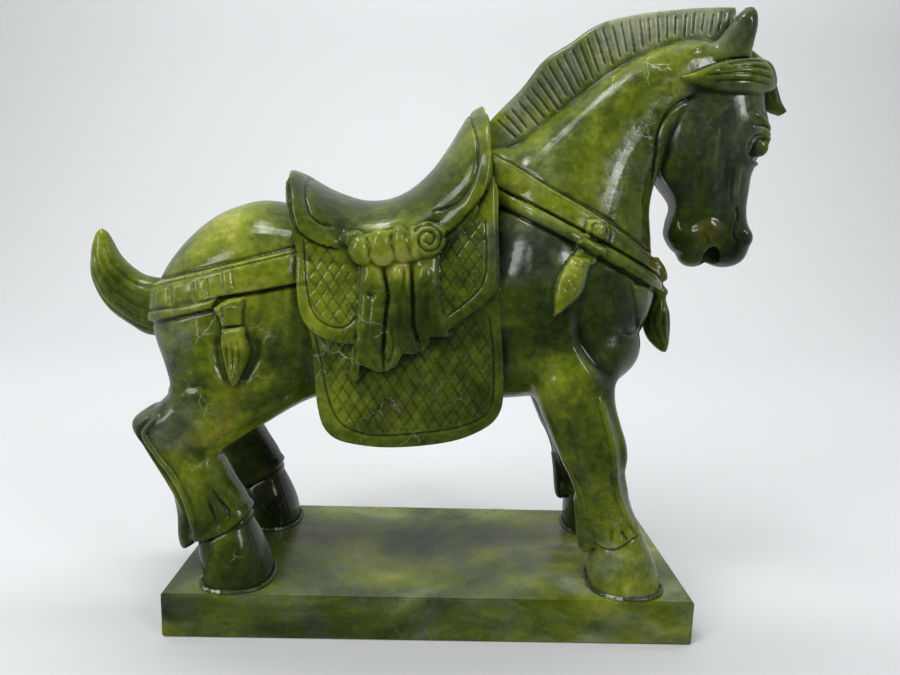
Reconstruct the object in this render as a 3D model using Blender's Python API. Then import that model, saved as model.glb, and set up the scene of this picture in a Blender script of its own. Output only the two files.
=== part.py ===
"""Carved jade parade horse standing on a separate stone plinth.

The horse, with its saddle, cloths, harness, mane and tail, is one carved
block, symmetrical about the plane y = 0.  It stands on a flat rectangular
plinth and is fixed to it by a thin bead of adhesive around each hoof.
Metres, +X toward the head, +Z up, origin at the centre of the underside.
"""
import math

import bmesh
import bpy
from mathutils import Vector
from mathutils.bvhtree import BVHTree

for _o in list(bpy.data.objects):
    bpy.data.objects.remove(_o, do_unlink=True)

# ------------------------------------------------------------------ sizes
MM = 0.001
PLINTH_LENGTH = 0.254
PLINTH_DEPTH = 0.108
PLINTH_HEIGHT = 0.022
PLINTH_ARRIS = 0.0007
FIT_GAP = 0.0003            # between touching pieces
HOOF_SOLE = 22.3            # mm, underside of the hooves
STRAP_HALF = 7.5            # mm, half width of the breast and crupper straps
STRAP_RISE = 2.2            # mm, relief of a strap over the body
CLOTH_RISE = 3.0            # mm, relief of the blanket over the barrel
FLAP_RISE = 4.6             # mm, relief of the upper flap over the barrel
BEAD_WIDTH = 1.8            # mm, adhesive bead beyond the hoof
BEAD_HEIGHT = 1.3           # mm
CARVE_VOXEL = 0.0013        # grain at which the carved volumes are fused
HORSE_RATIO = 0.033           # share of faces kept on the fused carving

# Section tables, millimetres.  Each section is
# (rear x, rear z, front x, front z, half width, side offset, fullness).
TORSO = [
    (-138, 150, -138, 160, 8, 0, 2.0),
    (-136, 138, -136, 168, 24, 0, 2.1),
    (-130, 124, -132, 177, 34, 0, 2.2),
    (-120, 115, -122, 189.5, 40, 0, 2.2),
    (-106, 109, -108, 200.5, 43, 0, 2.25),
    (-88, 107, -89, 207, 44.5, 0, 2.3),
    (-68, 108, -70, 205, 44, 0, 2.4),
    (-40, 109, -42, 199, 44, 0, 2.5),
    (-10, 109, -12, 198, 44, 0, 2.5),
    (20, 109, 14, 207, 44, 0, 2.5),
    (44, 110, 36, 216, 44, 0, 2.4),
    (64, 113, 60, 212, 42, 0, 2.3),
    (80, 120, 82, 200, 38, 0, 2.2),
    (92, 128, 98, 190, 30, 0, 2.1),
    (100, 140, 107, 180, 21, 0, 2.0),
    (105, 152, 110, 172, 11, 0, 2.0)]
NECK = [
    (8, 190, 84, 130, 41, 0, 2.3),
    (22, 216, 102, 146, 38, 0, 2.3),
    (34, 233, 109, 168, 34, 0, 2.3),
    (48, 246, 108, 189, 30, 0, 2.2),
    (65, 260, 106, 206, 26, 0, 2.2),
    (83, 274, 108, 222, 22.5, 0, 2.2),
    (101, 284, 113, 240, 20, 0, 2.2),
    (119, 290, 124, 255, 18, 0, 2.2),
    (134, 289, 136, 264, 15, 0, 2.2)]
HEAD = [
    (124, 287, 146, 288, 9, 0, 2.0),
    (116, 280, 154, 281, 14, 0, 2.1),
    (112, 270, 159, 272, 17, 0, 2.3),
    (109, 258, 160, 260, 19.5, 0, 2.5),
    (107, 246, 163, 248, 20.5, 0, 2.6),
    (107, 236, 161, 238, 20, 0, 2.6),
    (109, 226, 156, 227, 18.5, 0, 2.6),
    (114, 218, 155, 218, 16.5, 0, 2.5),
    (119, 210, 155, 210, 14.5, 0, 2.5),
    (117.5, 202, 156.5, 203, 14, 0, 2.4),
    (117, 195, 160, 195, 14, 0, 2.4),
    (121, 188, 158, 189, 12.5, 0, 2.3),
    (128, 183, 150, 183, 9, 0, 2.1)]
FORELEG = [
    (50, 160, 96, 160, 13, -20, 2.2),
    (47, 142, 94, 143, 16, -26, 2.3),
    (47, 124, 88, 128, 16.5, -30, 2.4),
    (51, 111, 87, 116, 16, -33, 2.5),
    (56, 100, 91, 102, 15, -34, 2.6),
    (61, 89, 93.5, 90, 14, -34.5, 2.6),
    (67, 79, 94, 80, 13, -34.5, 2.6),
    (70.5, 70, 96.5, 70, 12.5, -34.5, 2.6),
    (73, 60, 100, 60, 12.5, -34.5, 2.5),
    (76, 51, 103, 52, 13, -34.5, 2.5),
    (79, 44, 105, 46, 13.5, -34.5, 2.4)]
FOREHOOF = [
    (80, 48, 104, 50, 12.5, -34.5, 2.3),
    (79.5, 41, 108.5, 41, 15.5, -34.5, 2.4),
    (79, 32, 112.5, 32, 17, -34.5, 2.5),
    (79.5, HOOF_SOLE, 114.5, HOOF_SOLE, 17.5, -34.5, 2.5)]
FORESPUR = [
    (70, 66, 77, 66, 4, -34.5, 2.0),
    (71.5, 56, 82, 56, 6, -34.5, 2.0),
    (72.5, 47, 84, 47, 7, -34.5, 2.0),
    (73.5, 41, 82, 41, 5.5, -34.5, 2.0),
    (75, 38.5, 78, 38.5, 2.5, -34.5, 2.0)]
HINDLEG = [
    (-134, 162, -60, 125, 18, -22, 2.2),
    (-132, 146, -62, 113, 21, -26, 2.3),
    (-128.5, 130, -75, 104, 19.5, -29, 2.4),
    (-126, 119, -88, 96, 17, -31, 2.5),
    (-132, 111, -98, 89.5, 14.5, -33, 2.6),
    (-143.4, 101.5, -103, 84.5, 13.5, -34, 2.7),
    (-138, 89.5, -100.5, 79, 13, -34, 2.8),
    (-130.5, 76, -96.5, 72, 12, -34.5, 2.8),
    (-125, 65, -91.5, 64, 11.5, -34.5, 2.7),
    (-121, 55, -91, 55, 12, -34.5, 2.6),
    (-117, 44, -89, 49, 12.5, -34.5, 2.5)]
HINDHOOF = [
    (-114, 44, -88, 51, 12.5, -34.5, 2.3),
    (-113.5, 37, -84, 42, 15.5, -34.5, 2.4),
    (-112, 29, -80.5, 32, 17, -34.5, 2.5),
    (-111.5, HOOF_SOLE, -79, HOOF_SOLE, 17.5, -34.5, 2.5)]
HINDSPUR = [
    (-126, 64, -118, 64, 4, -34.5, 2.0),
    (-124.5, 54, -114, 54, 6, -34.5, 2.0),
    (-124.5, 45, -112, 45, 7, -34.5, 2.0),
    (-124, 39.5, -116, 39.5, 5, -34.5, 2.0),
    (-123, 36.5, -120, 36.5, 2.5, -34.5, 2.0)]
TAIL = [
    (-128, 166, -128, 142, 10, 0, 2.2),
    (-147, 167, -146, 136.5, 10.5, 0, 2.2),
    (-156, 171, -158, 142, 10, 0, 2.2),
    (-163, 178, -169.5, 151, 9, 0, 2.2),
    (-166.5, 185, -176.5, 165, 7.5, 0, 2.1),
    (-168.5, 189, -176.5, 179, 5, 0, 2.0),
    (-171, 191, -174.5, 187, 2.5, 0, 2.0)]
MANE = [
    (22, 214, 15, 240, 4.5, 0, 3.5),
    (29, 220, 20, 246, 4.5, 0, 3.5),
    (36, 226, 23, 248, 4.5, 0, 3.5),
    (44, 236, 30, 255.5, 4.5, 0, 3.5),
    (54, 246, 40, 266, 4.5, 0, 3.5),
    (64, 254, 50, 279, 4.8, 0, 3.5),
    (78, 264, 62, 287, 5, 0, 3.5),
    (92, 273, 76, 296.5, 5, 0, 3.5),
    (106, 279, 94, 301.5, 5, 0, 3.5),
    (120, 283, 115, 304.5, 5, 0, 3.5),
    (134, 284, 131, 306, 4.6, 0, 3.5),
    (143, 286, 142.5, 306.5, 3.8, 0, 3.0)]
EAR = [
    (126, 278, 148, 281, 6.5, -10, 2.1),
    (131, 287, 149, 289, 6.5, -11, 2.1),
    (136, 294.5, 149.5, 295.5, 6, -11.5, 2.1),
    (140, 300, 149, 300.5, 4.5, -11.5, 2.0),
    (143.5, 303.3, 147.5, 303, 2, -11.5, 2.0)]
FORELOCK_SIDE = [
    (115.5, 269.5, 115, 272, 3, -17, 2.0),
    (124, 267, 122, 275.5, 5, -17.5, 2.1),
    (137, 265, 135, 281, 6.5, -16.5, 2.3),
    (149, 265.5, 147, 283, 7, -13.5, 2.3),
    (157, 267.5, 156, 281, 6, -8, 2.2),
    (161, 270, 160, 278, 3.5, -3, 2.0)]
FORELOCK_TIP = [
    (148, 276, 150, 288, 8, 0, 2.2),
    (155, 270, 159, 282, 7, 0, 2.2),
    (159, 263, 165, 274, 5.5, 0, 2.2),
    (164, 258, 169.5, 264, 4, 0, 2.1),
    (170, 256, 173.5, 258.5, 2, 0, 2.0)]
# Saddle tree: rear edge is the lower end, front edge the seat line, and the
# last number bows the section forward at mid height.
SADDLE = [
    (-56, 158, -72.5, 222.5, 45, 0, 2.3, -1),
    (-50, 158, -66, 220, 46, 0, 2.3, -1),
    (-44, 158, -55, 214, 46, 0, 2.3, 0),
    (-35, 158, -42, 209.5, 46, 0, 2.3, 0),
    (-27, 158, -32, 208.5, 46, 0, 2.3, 0),
    (-20, 158, -22, 210.5, 46, 0, 2.3, 1),
    (-15, 158, -12.5, 216, 46, 0, 2.3, 3),
    (-12, 158, -3.8, 224.5, 46, 0, 2.3, 5),
    (-11, 158, 3.6, 235, 46, 0, 2.2, 7),
    (-10, 158, 9.5, 245, 46, 0, 2.2, 9),
    (-10, 158, 14, 252, 46, 0, 2.2, 11),
    (-9, 158, 20, 256, 45, 0, 2.2, 12)]
# Cloths hanging over the barrel: (x, lower z, upper z).
BLANKET = [
    (-61, 146, 180), (-58, 137, 188), (-55, 120, 190), (-52, 107.5, 190),
    (-49, 101, 190), (-42, 96, 190), (-30, 94, 190), (-13, 94, 190),
    (1, 95, 190), (13.6, 98.6, 190), (24, 103, 190), (29, 107.5, 190),
    (31.5, 111.5, 160), (33, 117.6, 140)]
FLAP = [
    (-63.5, 158, 184), (-61, 152, 188), (-58, 147.5, 192), (-53.6, 144.5, 194),
    (-43, 142, 196), (-30, 142, 197), (-10, 148, 198), (6, 151, 199),
    (12, 154, 201), (20, 159, 203), (24, 163, 203), (26.5, 167, 202)]
DRAPE = [
    (-39, 128, 182), (-36, 127, 184), (-30, 134, 185), (-24, 131, 186),
    (-15, 138, 186), (-7, 139, 186), (0, 147, 186), (6, 148, 184)]
BUNDLE_RADII = (22, 6.5, 9)
BUNDLE_CENTRE = (-20, -47, 188.5)


# ------------------------------------------------------------- small tools
def material(name, colour, roughness):
    m = bpy.data.materials.new(name)
    m.use_nodes = True
    b = m.node_tree.nodes["Principled BSDF"]
    b.inputs["Base Color"].default_value = (*colour, 1)
    b.inputs["Roughness"].default_value = roughness
    m.diffuse_color = (*colour, 1)
    return m


def spline(table, per):
    """Catmull-Rom resampling of a table of sections."""
    cols = len(table[0])
    first = [2 * table[0][k] - table[1][k] for k in range(cols)]
    last = [2 * table[-1][k] - table[-2][k] for k in range(cols)]
    p = [first] + [list(r) for r in table] + [last]
    out = []
    for i in range(1, len(p) - 2):
        for j in range(per):
            t = j / per
            out.append([0.5 * (2 * b + (c - a) * t
                               + (2 * a - 5 * b + 4 * c - d) * t * t
                               + (3 * b - a - 3 * c + d) * t ** 3)
                        for a, b, c, d in zip(p[i - 1], p[i], p[i + 1], p[i + 2])])
    out.append(list(table[-1]))
    return out


def skin(bm, rings, scale=MM):
    """Closed body through a list of point rings of equal length."""
    rows = [[bm.verts.new(Vector(p) * scale) for p in ring] for ring in rings]
    n = len(rows[0])
    made = []
    for a, b in zip(rows, rows[1:]):
        for j in range(n):
            k = (j + 1) % n
            made.append(bm.faces.new((a[j], a[k], b[k], b[j])))
    made.append(bm.faces.new(rows[0][::-1]))
    made.append(bm.faces.new(rows[-1]))
    bmesh.ops.recalc_face_normals(bm, faces=made)


def superellipse(section, n=32):
    rx, rz, fx, fz, half, side, full = section[:7]
    bow = section[7] if len(section) > 7 else 0.0
    cx, cz, ax, az = (rx + fx) / 2, (rz + fz) / 2, (fx - rx) / 2, (fz - rz) / 2
    length = math.hypot(ax, az) or 1.0
    px, pz = az / length, -ax / length
    pts = []
    for i in range(n):
        t = 2 * math.pi * i / n
        c, s = math.cos(t), math.sin(t)
        u = math.copysign(abs(c) ** (2 / full), c)
        v = math.copysign(abs(s) ** (2 / full), s)
        w = bow * (1 - u * u)
        pts.append((cx + u * ax + w * px, side + v * half, cz + u * az + w * pz))
    return pts


def mirrored(rings):
    return [[(x, -y, z) for x, y, z in ring] for ring in rings]


def loft(bm, table, both=False):
    rings = [superellipse(s) for s in spline(table, 4)]
    skin(bm, rings)
    if both:
        skin(bm, mirrored(rings))


def ellipsoid(bm, centre, radii, tilt=0.0, both=True):
    """Ellipsoid at centre, tilted in the XZ plane."""
    rings = []
    for i in range(1, 12):
        a = math.pi * i / 12
        ring = []
        for j in range(20):
            b = 2 * math.pi * j / 20
            x = -radii[0] * math.cos(a)
            y = radii[1] * math.sin(a) * math.cos(b)
            z = radii[2] * math.sin(a) * math.sin(b)
            ring.append((centre[0] + x * math.cos(tilt) - z * math.sin(tilt),
                         centre[1] + y,
                         centre[2] + x * math.sin(tilt) + z * math.cos(tilt)))
        rings.append(ring)
    skin(bm, rings)
    if both:
        skin(bm, mirrored(rings))


def barrel_y(z, rise):
    """Half width of the barrel with its coverings, at height z."""
    u = min(abs(z - 156) / 50.0, 0.97) if z > 156 else 0.0
    low = max(0.0, (126 - z) / 60.0)
    return (44 + rise) * (1 - u ** 2.6) ** (1 / 2.6) - 9 * low ** 2


def hanging(bm, table, rise):
    """Cloth that follows the barrel between two edges."""
    rings = []
    for x, lo, hi in spline(table, 3):
        outer, inner = [], []
        for i in range(13):
            z = lo + (hi - lo) * i / 12
            edge = min(i, 12 - i)
            y = barrel_y(z, rise - (0.6 if edge == 0 else 0.0))
            outer.append((x, -y, z))
            inner.append((x, -(y - 12), z))
        rings.append(outer + inner[::-1])
    skin(bm, rings)
    skin(bm, mirrored(rings))


def wrapped(bm, tree, axis_x, angles, line, half, rise):
    """Strap around the body in a sloping plane, z = line(x)."""
    rings = []
    slope = line(1.0) - line(0.0)
    norm = math.hypot(slope, 1.0)
    for a in angles:
        d = Vector((math.cos(a), math.sin(a), 0))
        z = line(axis_x + 40 * d.x)
        for _ in range(5):
            hit = tree.ray_cast(Vector((axis_x, 0, z)) * MM + d * 0.2, -d)[0]
            z = line(hit.x / MM)
        ring = []
        for k, lift in ((-1, rise * .5), (-.8, rise), (0, rise), (.8, rise), (1, rise * .5),
                        (1, -8), (-1, -8)):
            q = Vector((axis_x - slope * k * half / norm, 0, z + k * half / norm)) * MM
            h = tree.ray_cast(q + d * 0.2, -d)[0]
            ring.append(tuple((h + d * lift * MM) / MM))
        rings.append(ring)
    skin(bm, rings)


# ----------------------------------------------------------------- horse
body = bmesh.new()
for table, both in ((TORSO, 0), (NECK, 0)):
    loft(body, table, bool(both))
ellipsoid(body, (81.5, -19.5, 140.5), (20, 18, 18.5))
ellipsoid(body, (88, -16.5, 161), (17, 17.5, 14.5))
ellipsoid(body, (28, -4, 222), (19, 20, 20))
tree = BVHTree.FromBMesh(body)

carving = body
for table, both in ((HEAD, 0), (FORELEG, 1), (FOREHOOF, 1), (FORESPUR, 1), (HINDLEG, 1),
                    (HINDHOOF, 1), (HINDSPUR, 1), (TAIL, 0), (MANE, 0), (EAR, 1),
                    (FORELOCK_SIDE, 1), (FORELOCK_TIP, 0), (SADDLE, 0)):
    loft(carving, table, bool(both))
hanging(carving, BLANKET, CLOTH_RISE)
hanging(carving, FLAP, FLAP_RISE)
hanging(carving, DRAPE, FLAP_RISE + 3.0)
ellipsoid(carving, BUNDLE_CENTRE, BUNDLE_RADII, 0.05)


def breast_line(x):
    return 218.8 - 0.49 * (x - 24)


def crupper_line(x):
    return 154 + 0.289 * (x + 140)


wrapped(carving, tree, 50, [math.radians(-128 + 256 * i / 40) for i in range(41)],
        breast_line, STRAP_HALF, STRAP_RISE)
wrapped(carving, tree, -85, [math.radians(70 + 220 * i / 40) for i in range(41)],
        crupper_line, STRAP_HALF, STRAP_RISE)
ellipsoid(carving, (74.7, -38.5, 195), (5.2, 3.2, 5.2))          # square boss
ellipsoid(carving, (67, -42, 184), (4.2, 4.5, 4.2))              # tassel knot
ellipsoid(carving, (61, -44, 172), (14.5, 4.5, 5.8), 1.15)       # side tassel
ellipsoid(carving, (114.5, 0, 166), (5.5, 5, 5.5), 0, False)     # chest knot
ellipsoid(carving, (114, 0, 148), (15, 5, 6.5), 1.45, False)     # chest tassel
ellipsoid(carving, (-91, -45.5, 153), (5, 3.5, 6))               # crupper drop
ellipsoid(carving, (-91, -43.5, 138), (4.4, 4, 15))

mesh = bpy.data.meshes.new("horse")
carving.to_mesh(mesh)
carving.free()
horse = bpy.data.objects.new("horse", mesh)
bpy.context.scene.collection.objects.link(horse)
m = horse.modifiers.new("fuse", "REMESH")
m.mode = "VOXEL"
m.voxel_size = CARVE_VOXEL
m.use_smooth_shade = True
m = horse.modifiers.new("polish", "SMOOTH")
m.factor = 0.5
m.iterations = 2
m = horse.modifiers.new("facet", "DECIMATE")
m.ratio = HORSE_RATIO
m.use_collapse_triangulate = True
horse.data.materials.append(material("green_jade", (0.11, 0.16, 0.03), 0.25))
for p in mesh.polygons:
    p.use_smooth = True


# ---------------------------------------------------------------- plinth
bm = bmesh.new()
bmesh.ops.create_cube(bm, size=1.0)
for v in bm.verts:
    v.co = Vector((v.co.x * PLINTH_LENGTH, v.co.y * PLINTH_DEPTH,
                   (v.co.z + 0.5) * PLINTH_HEIGHT))
bmesh.ops.bevel(bm, geom=bm.edges[:], offset=PLINTH_ARRIS, segments=2, affect="EDGES")
bmesh.ops.recalc_face_normals(bm, faces=bm.faces[:])
mesh = bpy.data.meshes.new("plinth")
bm.to_mesh(mesh)
bm.free()
plinth = bpy.data.objects.new("plinth", mesh)
bpy.context.scene.collection.objects.link(plinth)
mesh.materials.append(material("dark_jade", (0.05, 0.075, 0.035), 0.3))


# -------------------------------------------------------- adhesive beads
def bead(name, sole, side):
    """Ring of set adhesive in the corner between a hoof and the plinth."""
    rx, rz, fx, fz, half, off, full = sole
    cx, ax = (rx + fx) / 2, (fx - rx) / 2
    gap = FIT_GAP / MM
    base = PLINTH_HEIGHT / MM + gap
    rows = []
    n = 40
    for grow, z in ((gap + 0.3, base), (gap + 0.3, base + BEAD_HEIGHT),
                    (gap + 1.0, base + BEAD_HEIGHT * 0.85),
                    (BEAD_WIDTH, base + 0.35), (BEAD_WIDTH, base)):
        row = []
        for i in range(n):
            t = 2 * math.pi * i / n
            c, s = math.cos(t), math.sin(t)
            u = math.copysign(abs(c) ** (2 / full), c)
            v = math.copysign(abs(s) ** (2 / full), s)
            row.append((cx + u * (ax + grow), side * (abs(off) + v * (half + grow)), z))
        rows.append(row)
    bmb = bmesh.new()
    vs = [[bmb.verts.new(Vector(p) * MM) for p in row] for row in rows]
    for a, b in zip(vs, vs[1:] + vs[:1]):
        for j in range(n):
            k = (j + 1) % n
            bmb.faces.new((a[j], a[k], b[k], b[j]))
    bmesh.ops.recalc_face_normals(bmb, faces=bmb.faces[:])
    me = bpy.data.meshes.new(name)
    bmb.to_mesh(me)
    bmb.free()
    for p in me.polygons:
        p.use_smooth = True
    ob = bpy.data.objects.new(name, me)
    bpy.context.scene.collection.objects.link(ob)
    me.materials.append(material(name + "_clear", (0.72, 0.74, 0.68), 0.3))
    return ob


bead("bead_fore_near", FOREHOOF[-1], -1)
bead("bead_fore_far", FOREHOOF[-1], 1)
bead("bead_hind_near", HINDHOOF[-1], -1)
bead("bead_hind_far", HINDHOOF[-1], 1)
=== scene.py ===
import math

import bmesh
import bpy
import numpy as np
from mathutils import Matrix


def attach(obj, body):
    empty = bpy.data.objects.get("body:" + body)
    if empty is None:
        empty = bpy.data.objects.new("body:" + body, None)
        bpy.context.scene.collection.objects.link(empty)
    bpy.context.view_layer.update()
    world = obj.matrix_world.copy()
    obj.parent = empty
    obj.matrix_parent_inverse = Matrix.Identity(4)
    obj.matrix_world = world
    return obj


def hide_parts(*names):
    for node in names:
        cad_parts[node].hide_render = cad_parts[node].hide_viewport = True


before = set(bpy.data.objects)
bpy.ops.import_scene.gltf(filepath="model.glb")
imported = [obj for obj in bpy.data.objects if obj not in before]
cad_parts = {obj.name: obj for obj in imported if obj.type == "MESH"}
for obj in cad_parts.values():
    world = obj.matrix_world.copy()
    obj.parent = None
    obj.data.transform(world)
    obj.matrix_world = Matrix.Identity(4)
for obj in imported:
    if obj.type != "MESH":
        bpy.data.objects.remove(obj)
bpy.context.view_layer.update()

import openvdb as vdb
from mathutils import Matrix

# ------------------------------------------------------------------ camera
EYE = (0.1901, -358.066, 196.060)              # mm
PITCH, ROLL, YAW = -0.1577547, -0.0278352, -0.0200444
R = (Matrix.Rotation(YAW, 3, "Z") @ Matrix.Rotation(PITCH, 3, "X") @ Matrix.Rotation(ROLL, 3, "Y"))
cam = bpy.data.cameras.new("camera")
cam.sensor_width = 36.0
cam.lens = 27.6
cam.clip_start = 0.01
cam.clip_end = 50
cam_ob = bpy.data.objects.new("camera", cam)
bpy.context.scene.collection.objects.link(cam_ob)
M = Matrix.Identity(4)
for i in range(3):
    M[i][0], M[i][1], M[i][2] = R[i][0], R[i][2], -R[i][1]
    M[i][3] = EYE[i] / 1000
cam_ob.matrix_world = M
bpy.context.scene.camera = cam_ob

# ------------------------------------------------- section tables (mm)
# (rear x, rear z, front x, front z, half width, side offset, fullness, bow)
TORSO = [
    (-138, 150, -138, 160, 8, 0, 2.0), (-136, 138, -136, 168, 24, 0, 2.1),
    (-130, 124, -132, 177, 34, 0, 2.2), (-120, 115, -122, 189.5, 40, 0, 2.2),
    (-106, 109, -108, 200.5, 43, 0, 2.25), (-88, 107, -89, 207, 44.5, 0, 2.3),
    (-68, 108, -70, 205, 44, 0, 2.4), (-40, 109, -42, 199, 44, 0, 2.5),
    (-10, 109, -12, 198, 44, 0, 2.5), (20, 109, 14, 207, 44, 0, 2.5),
    (44, 110, 36, 216, 44, 0, 2.4), (64, 113, 60, 212, 42, 0, 2.3),
    (80, 120, 82, 200, 38, 0, 2.2), (92, 128, 98, 190, 30, 0, 2.1),
    (100, 140, 107, 180, 21, 0, 2.0), (105, 152, 110, 172, 11, 0, 2.0)]
NECK = [
    (8, 190, 84, 130, 41, 0, 2.3), (22, 216, 102, 146, 38, 0, 2.3),
    (34, 233, 109, 168, 34, 0, 2.3), (48, 246, 108, 189, 30, 0, 2.2),
    (65, 260, 106, 206, 26, 0, 2.2), (83, 274, 108, 222, 22.5, 0, 2.2),
    (101, 284, 113, 240, 20, 0, 2.2), (119, 290, 124, 255, 18, 0, 2.2),
    (134, 289, 136, 264, 15, 0, 2.2)]
HEAD = [
    (124, 287, 146, 288, 9, 0, 2.0), (116, 280, 154, 281, 14, 0, 2.1),
    (112, 270, 159, 272, 17, 0, 2.3), (109, 258, 160, 260, 19.5, 0, 2.5),
    (107, 246, 163, 248, 20.5, 0, 2.6), (107, 236, 161, 238, 20, 0, 2.6),
    (109, 226, 156, 227, 18.5, 0, 3.0), (114, 218, 155, 218, 16.5, 0, 3.4),
    (119, 210, 155, 210, 14.5, 0, 3.4), (117.5, 202, 156.5, 203, 14, 0, 3.2),
    (117, 195, 160, 195, 14, 0, 2.9), (121, 188, 158, 189, 12.5, 0, 2.5),
    (128, 183, 150, 183, 9, 0, 2.1)]
FORELEG = [
    (50, 160, 96, 160, 13, -20, 2.2), (47, 142, 94, 143, 16, -26, 2.3),
    (47, 124, 88, 128, 16.5, -30, 2.4), (51, 111, 87, 116, 16, -33, 2.5),
    (56, 100, 91, 102, 15, -34, 2.6), (61, 89, 93.5, 90, 14, -34.5, 2.6),
    (67, 79, 94, 80, 13, -34.5, 2.6), (70.5, 70, 96.5, 70, 12.5, -34.5, 2.6),
    (73, 60, 100, 60, 12.5, -34.5, 2.5), (76, 51, 103, 52, 13, -34.5, 2.5),
    (79, 44, 105, 46, 13.5, -34.5, 2.4)]
FOREHOOF = [
    (80, 48, 104, 50, 12.5, -34.5, 2.3), (79.5, 41, 108.5, 41, 15.5, -34.5, 2.4),
    (79, 32, 112.5, 32, 17, -34.5, 2.5), (79.5, 22.3, 114.5, 22.3, 17.5, -34.5, 2.5)]
FORESPUR = [
    (70, 66, 77, 66, 4, -34.5, 2.0), (71.5, 56, 82, 56, 6, -34.5, 2.0),
    (72.5, 47, 84, 47, 7, -34.5, 2.0), (73.5, 41, 82, 41, 5.5, -34.5, 2.0),
    (75, 38.5, 78, 38.5, 2.5, -34.5, 2.0)]
HINDLEG = [
    (-134, 162, -60, 125, 18, -22, 2.2), (-132, 146, -62, 113, 21, -26, 2.3),
    (-128.5, 130, -75, 104, 19.5, -29, 2.4), (-126, 119, -88, 96, 17, -31, 2.5),
    (-132, 111, -98, 89.5, 14.5, -33, 2.6), (-143.4, 101.5, -103, 84.5, 13.5, -34, 2.7),
    (-138, 89.5, -100.5, 79, 13, -34, 2.8), (-130.5, 76, -96.5, 72, 12, -34.5, 2.8),
    (-125, 65, -91.5, 64, 11.5, -34.5, 2.7), (-121, 55, -88.5, 56, 12, -34.5, 2.6),
    (-117, 44, -88.5, 49, 12.5, -34.5, 2.5)]
HINDHOOF = [
    (-114, 44, -88, 51, 12.5, -34.5, 2.3), (-113.5, 37, -84, 42, 15.5, -34.5, 2.4),
    (-112, 29, -80.5, 32, 17, -34.5, 2.5), (-111.5, 22.3, -79, 22.3, 17.5, -34.5, 2.5)]
HINDSPUR = [
    (-126, 64, -118, 64, 4, -34.5, 2.0), (-124.5, 54, -114, 54, 6, -34.5, 2.0),
    (-124.5, 45, -112, 45, 7, -34.5, 2.0), (-124, 39.5, -116, 39.5, 5, -34.5, 2.0),
    (-123, 36.5, -120, 36.5, 2.5, -34.5, 2.0)]
TAIL = [
    (-128, 166, -128, 142, 10, 0, 2.2), (-147, 167, -146, 136.5, 10.5, 0, 2.2),
    (-156, 171, -158, 142, 10, 0, 2.2), (-163, 178, -169.5, 151, 9, 0, 2.2),
    (-166.5, 185, -176.5, 165, 7.5, 0, 2.1), (-168.5, 189, -176.5, 179, 5, 0, 2.0),
    (-171, 191, -174.5, 187, 2.5, 0, 2.0)]
MANE = [
    (22, 214, 15, 240, 4.5, 0, 3.5), (29, 220, 20, 246, 4.5, 0, 3.5),
    (36, 226, 23, 248, 4.5, 0, 3.5), (44, 236, 30, 255.5, 4.5, 0, 3.5),
    (54, 246, 40, 266, 4.5, 0, 3.5), (64, 254, 50, 279, 4.8, 0, 3.5),
    (78, 264, 62, 287, 5, 0, 3.5), (92, 273, 76, 296.5, 5, 0, 3.5),
    (106, 279, 94, 301.5, 5, 0, 3.5), (120, 283, 115, 304.5, 5, 0, 3.5),
    (134, 284, 131, 306, 4.6, 0, 3.5), (143, 286, 142.5, 306.5, 3.8, 0, 3.0)]
EAR = [
    (126, 278, 148, 281, 6.5, -10, 2.1), (131, 287, 149, 289, 6.5, -11, 2.1),
    (136, 294.5, 149.5, 295.5, 6, -11.5, 2.1), (140, 300, 149, 300.5, 4.5, -11.5, 2.0),
    (143.5, 303.3, 147.5, 303, 2, -11.5, 2.0)]
FORELOCK_SIDE = [
    (113.5, 268.0, 113, 269.6, 3, -18.5, 2.0), (120, 266.2, 119, 271.8, 5, -18.5, 2.1), (128, 264.2, 126, 275.0, 6, -18.5, 2.2),
    (138, 262.8, 136, 278.2, 7, -17.5, 2.4), (149, 263.2, 147, 280.0, 7.5, -15, 2.4),
    (158, 264.6, 156.5, 279.4, 7, -10, 2.3), (162.5, 267, 161.5, 276, 5, -6, 2.1), (164.5, 269.5, 164, 273, 2.5, -4, 2.0)]
FORELOCK_TIP = [
    (148, 276, 150, 288, 8, 0, 2.2), (155, 270, 159, 282, 7, 0, 2.2),
    (159, 263, 165, 274, 5.5, 0, 2.2), (164, 258, 169.5, 264, 4, 0, 2.1),
    (170, 256, 173.5, 258.5, 2, 0, 2.0)]
SADDLE = [
    (-56, 158, -72.5, 222.5, 45, 0, 2.3, -1), (-50, 158, -66, 220, 46, 0, 2.3, -1),
    (-44, 158, -55, 214, 46, 0, 2.3, 0), (-35, 158, -42, 209.5, 46, 0, 2.3, 0),
    (-27, 158, -32, 208.5, 46, 0, 2.3, 0), (-20, 158, -22, 210.5, 46, 0, 2.3, 1),
    (-15, 158, -12.5, 216, 46, 0, 2.3, 3), (-12, 158, -3.8, 224.5, 46, 0, 2.3, 5),
    (-11, 158, 3.6, 235, 46, 0, 2.2, 7), (-10, 158, 9.5, 245, 46, 0, 2.2, 9),
    (-10, 158, 14, 252, 46, 0, 2.2, 11), (-9, 158, 20, 256, 45, 0, 2.2, 12)]
# form that the cloths follow: vertical tube along the barrel
CLOTH_FORM = [
    (-70, 40, -70, 208, 46.5, 0, 3.2), (-50, 40, -50, 208, 47.5, 0, 3.2),
    (-20, 40, -20, 208, 48, 0, 3.2), (6, 40, 6, 218, 48, 0, 3.2),
    (25, 40, 25, 240, 46.8, 0, 3.2), (40, 40, 40, 240, 45, 0, 3.2)]

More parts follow.
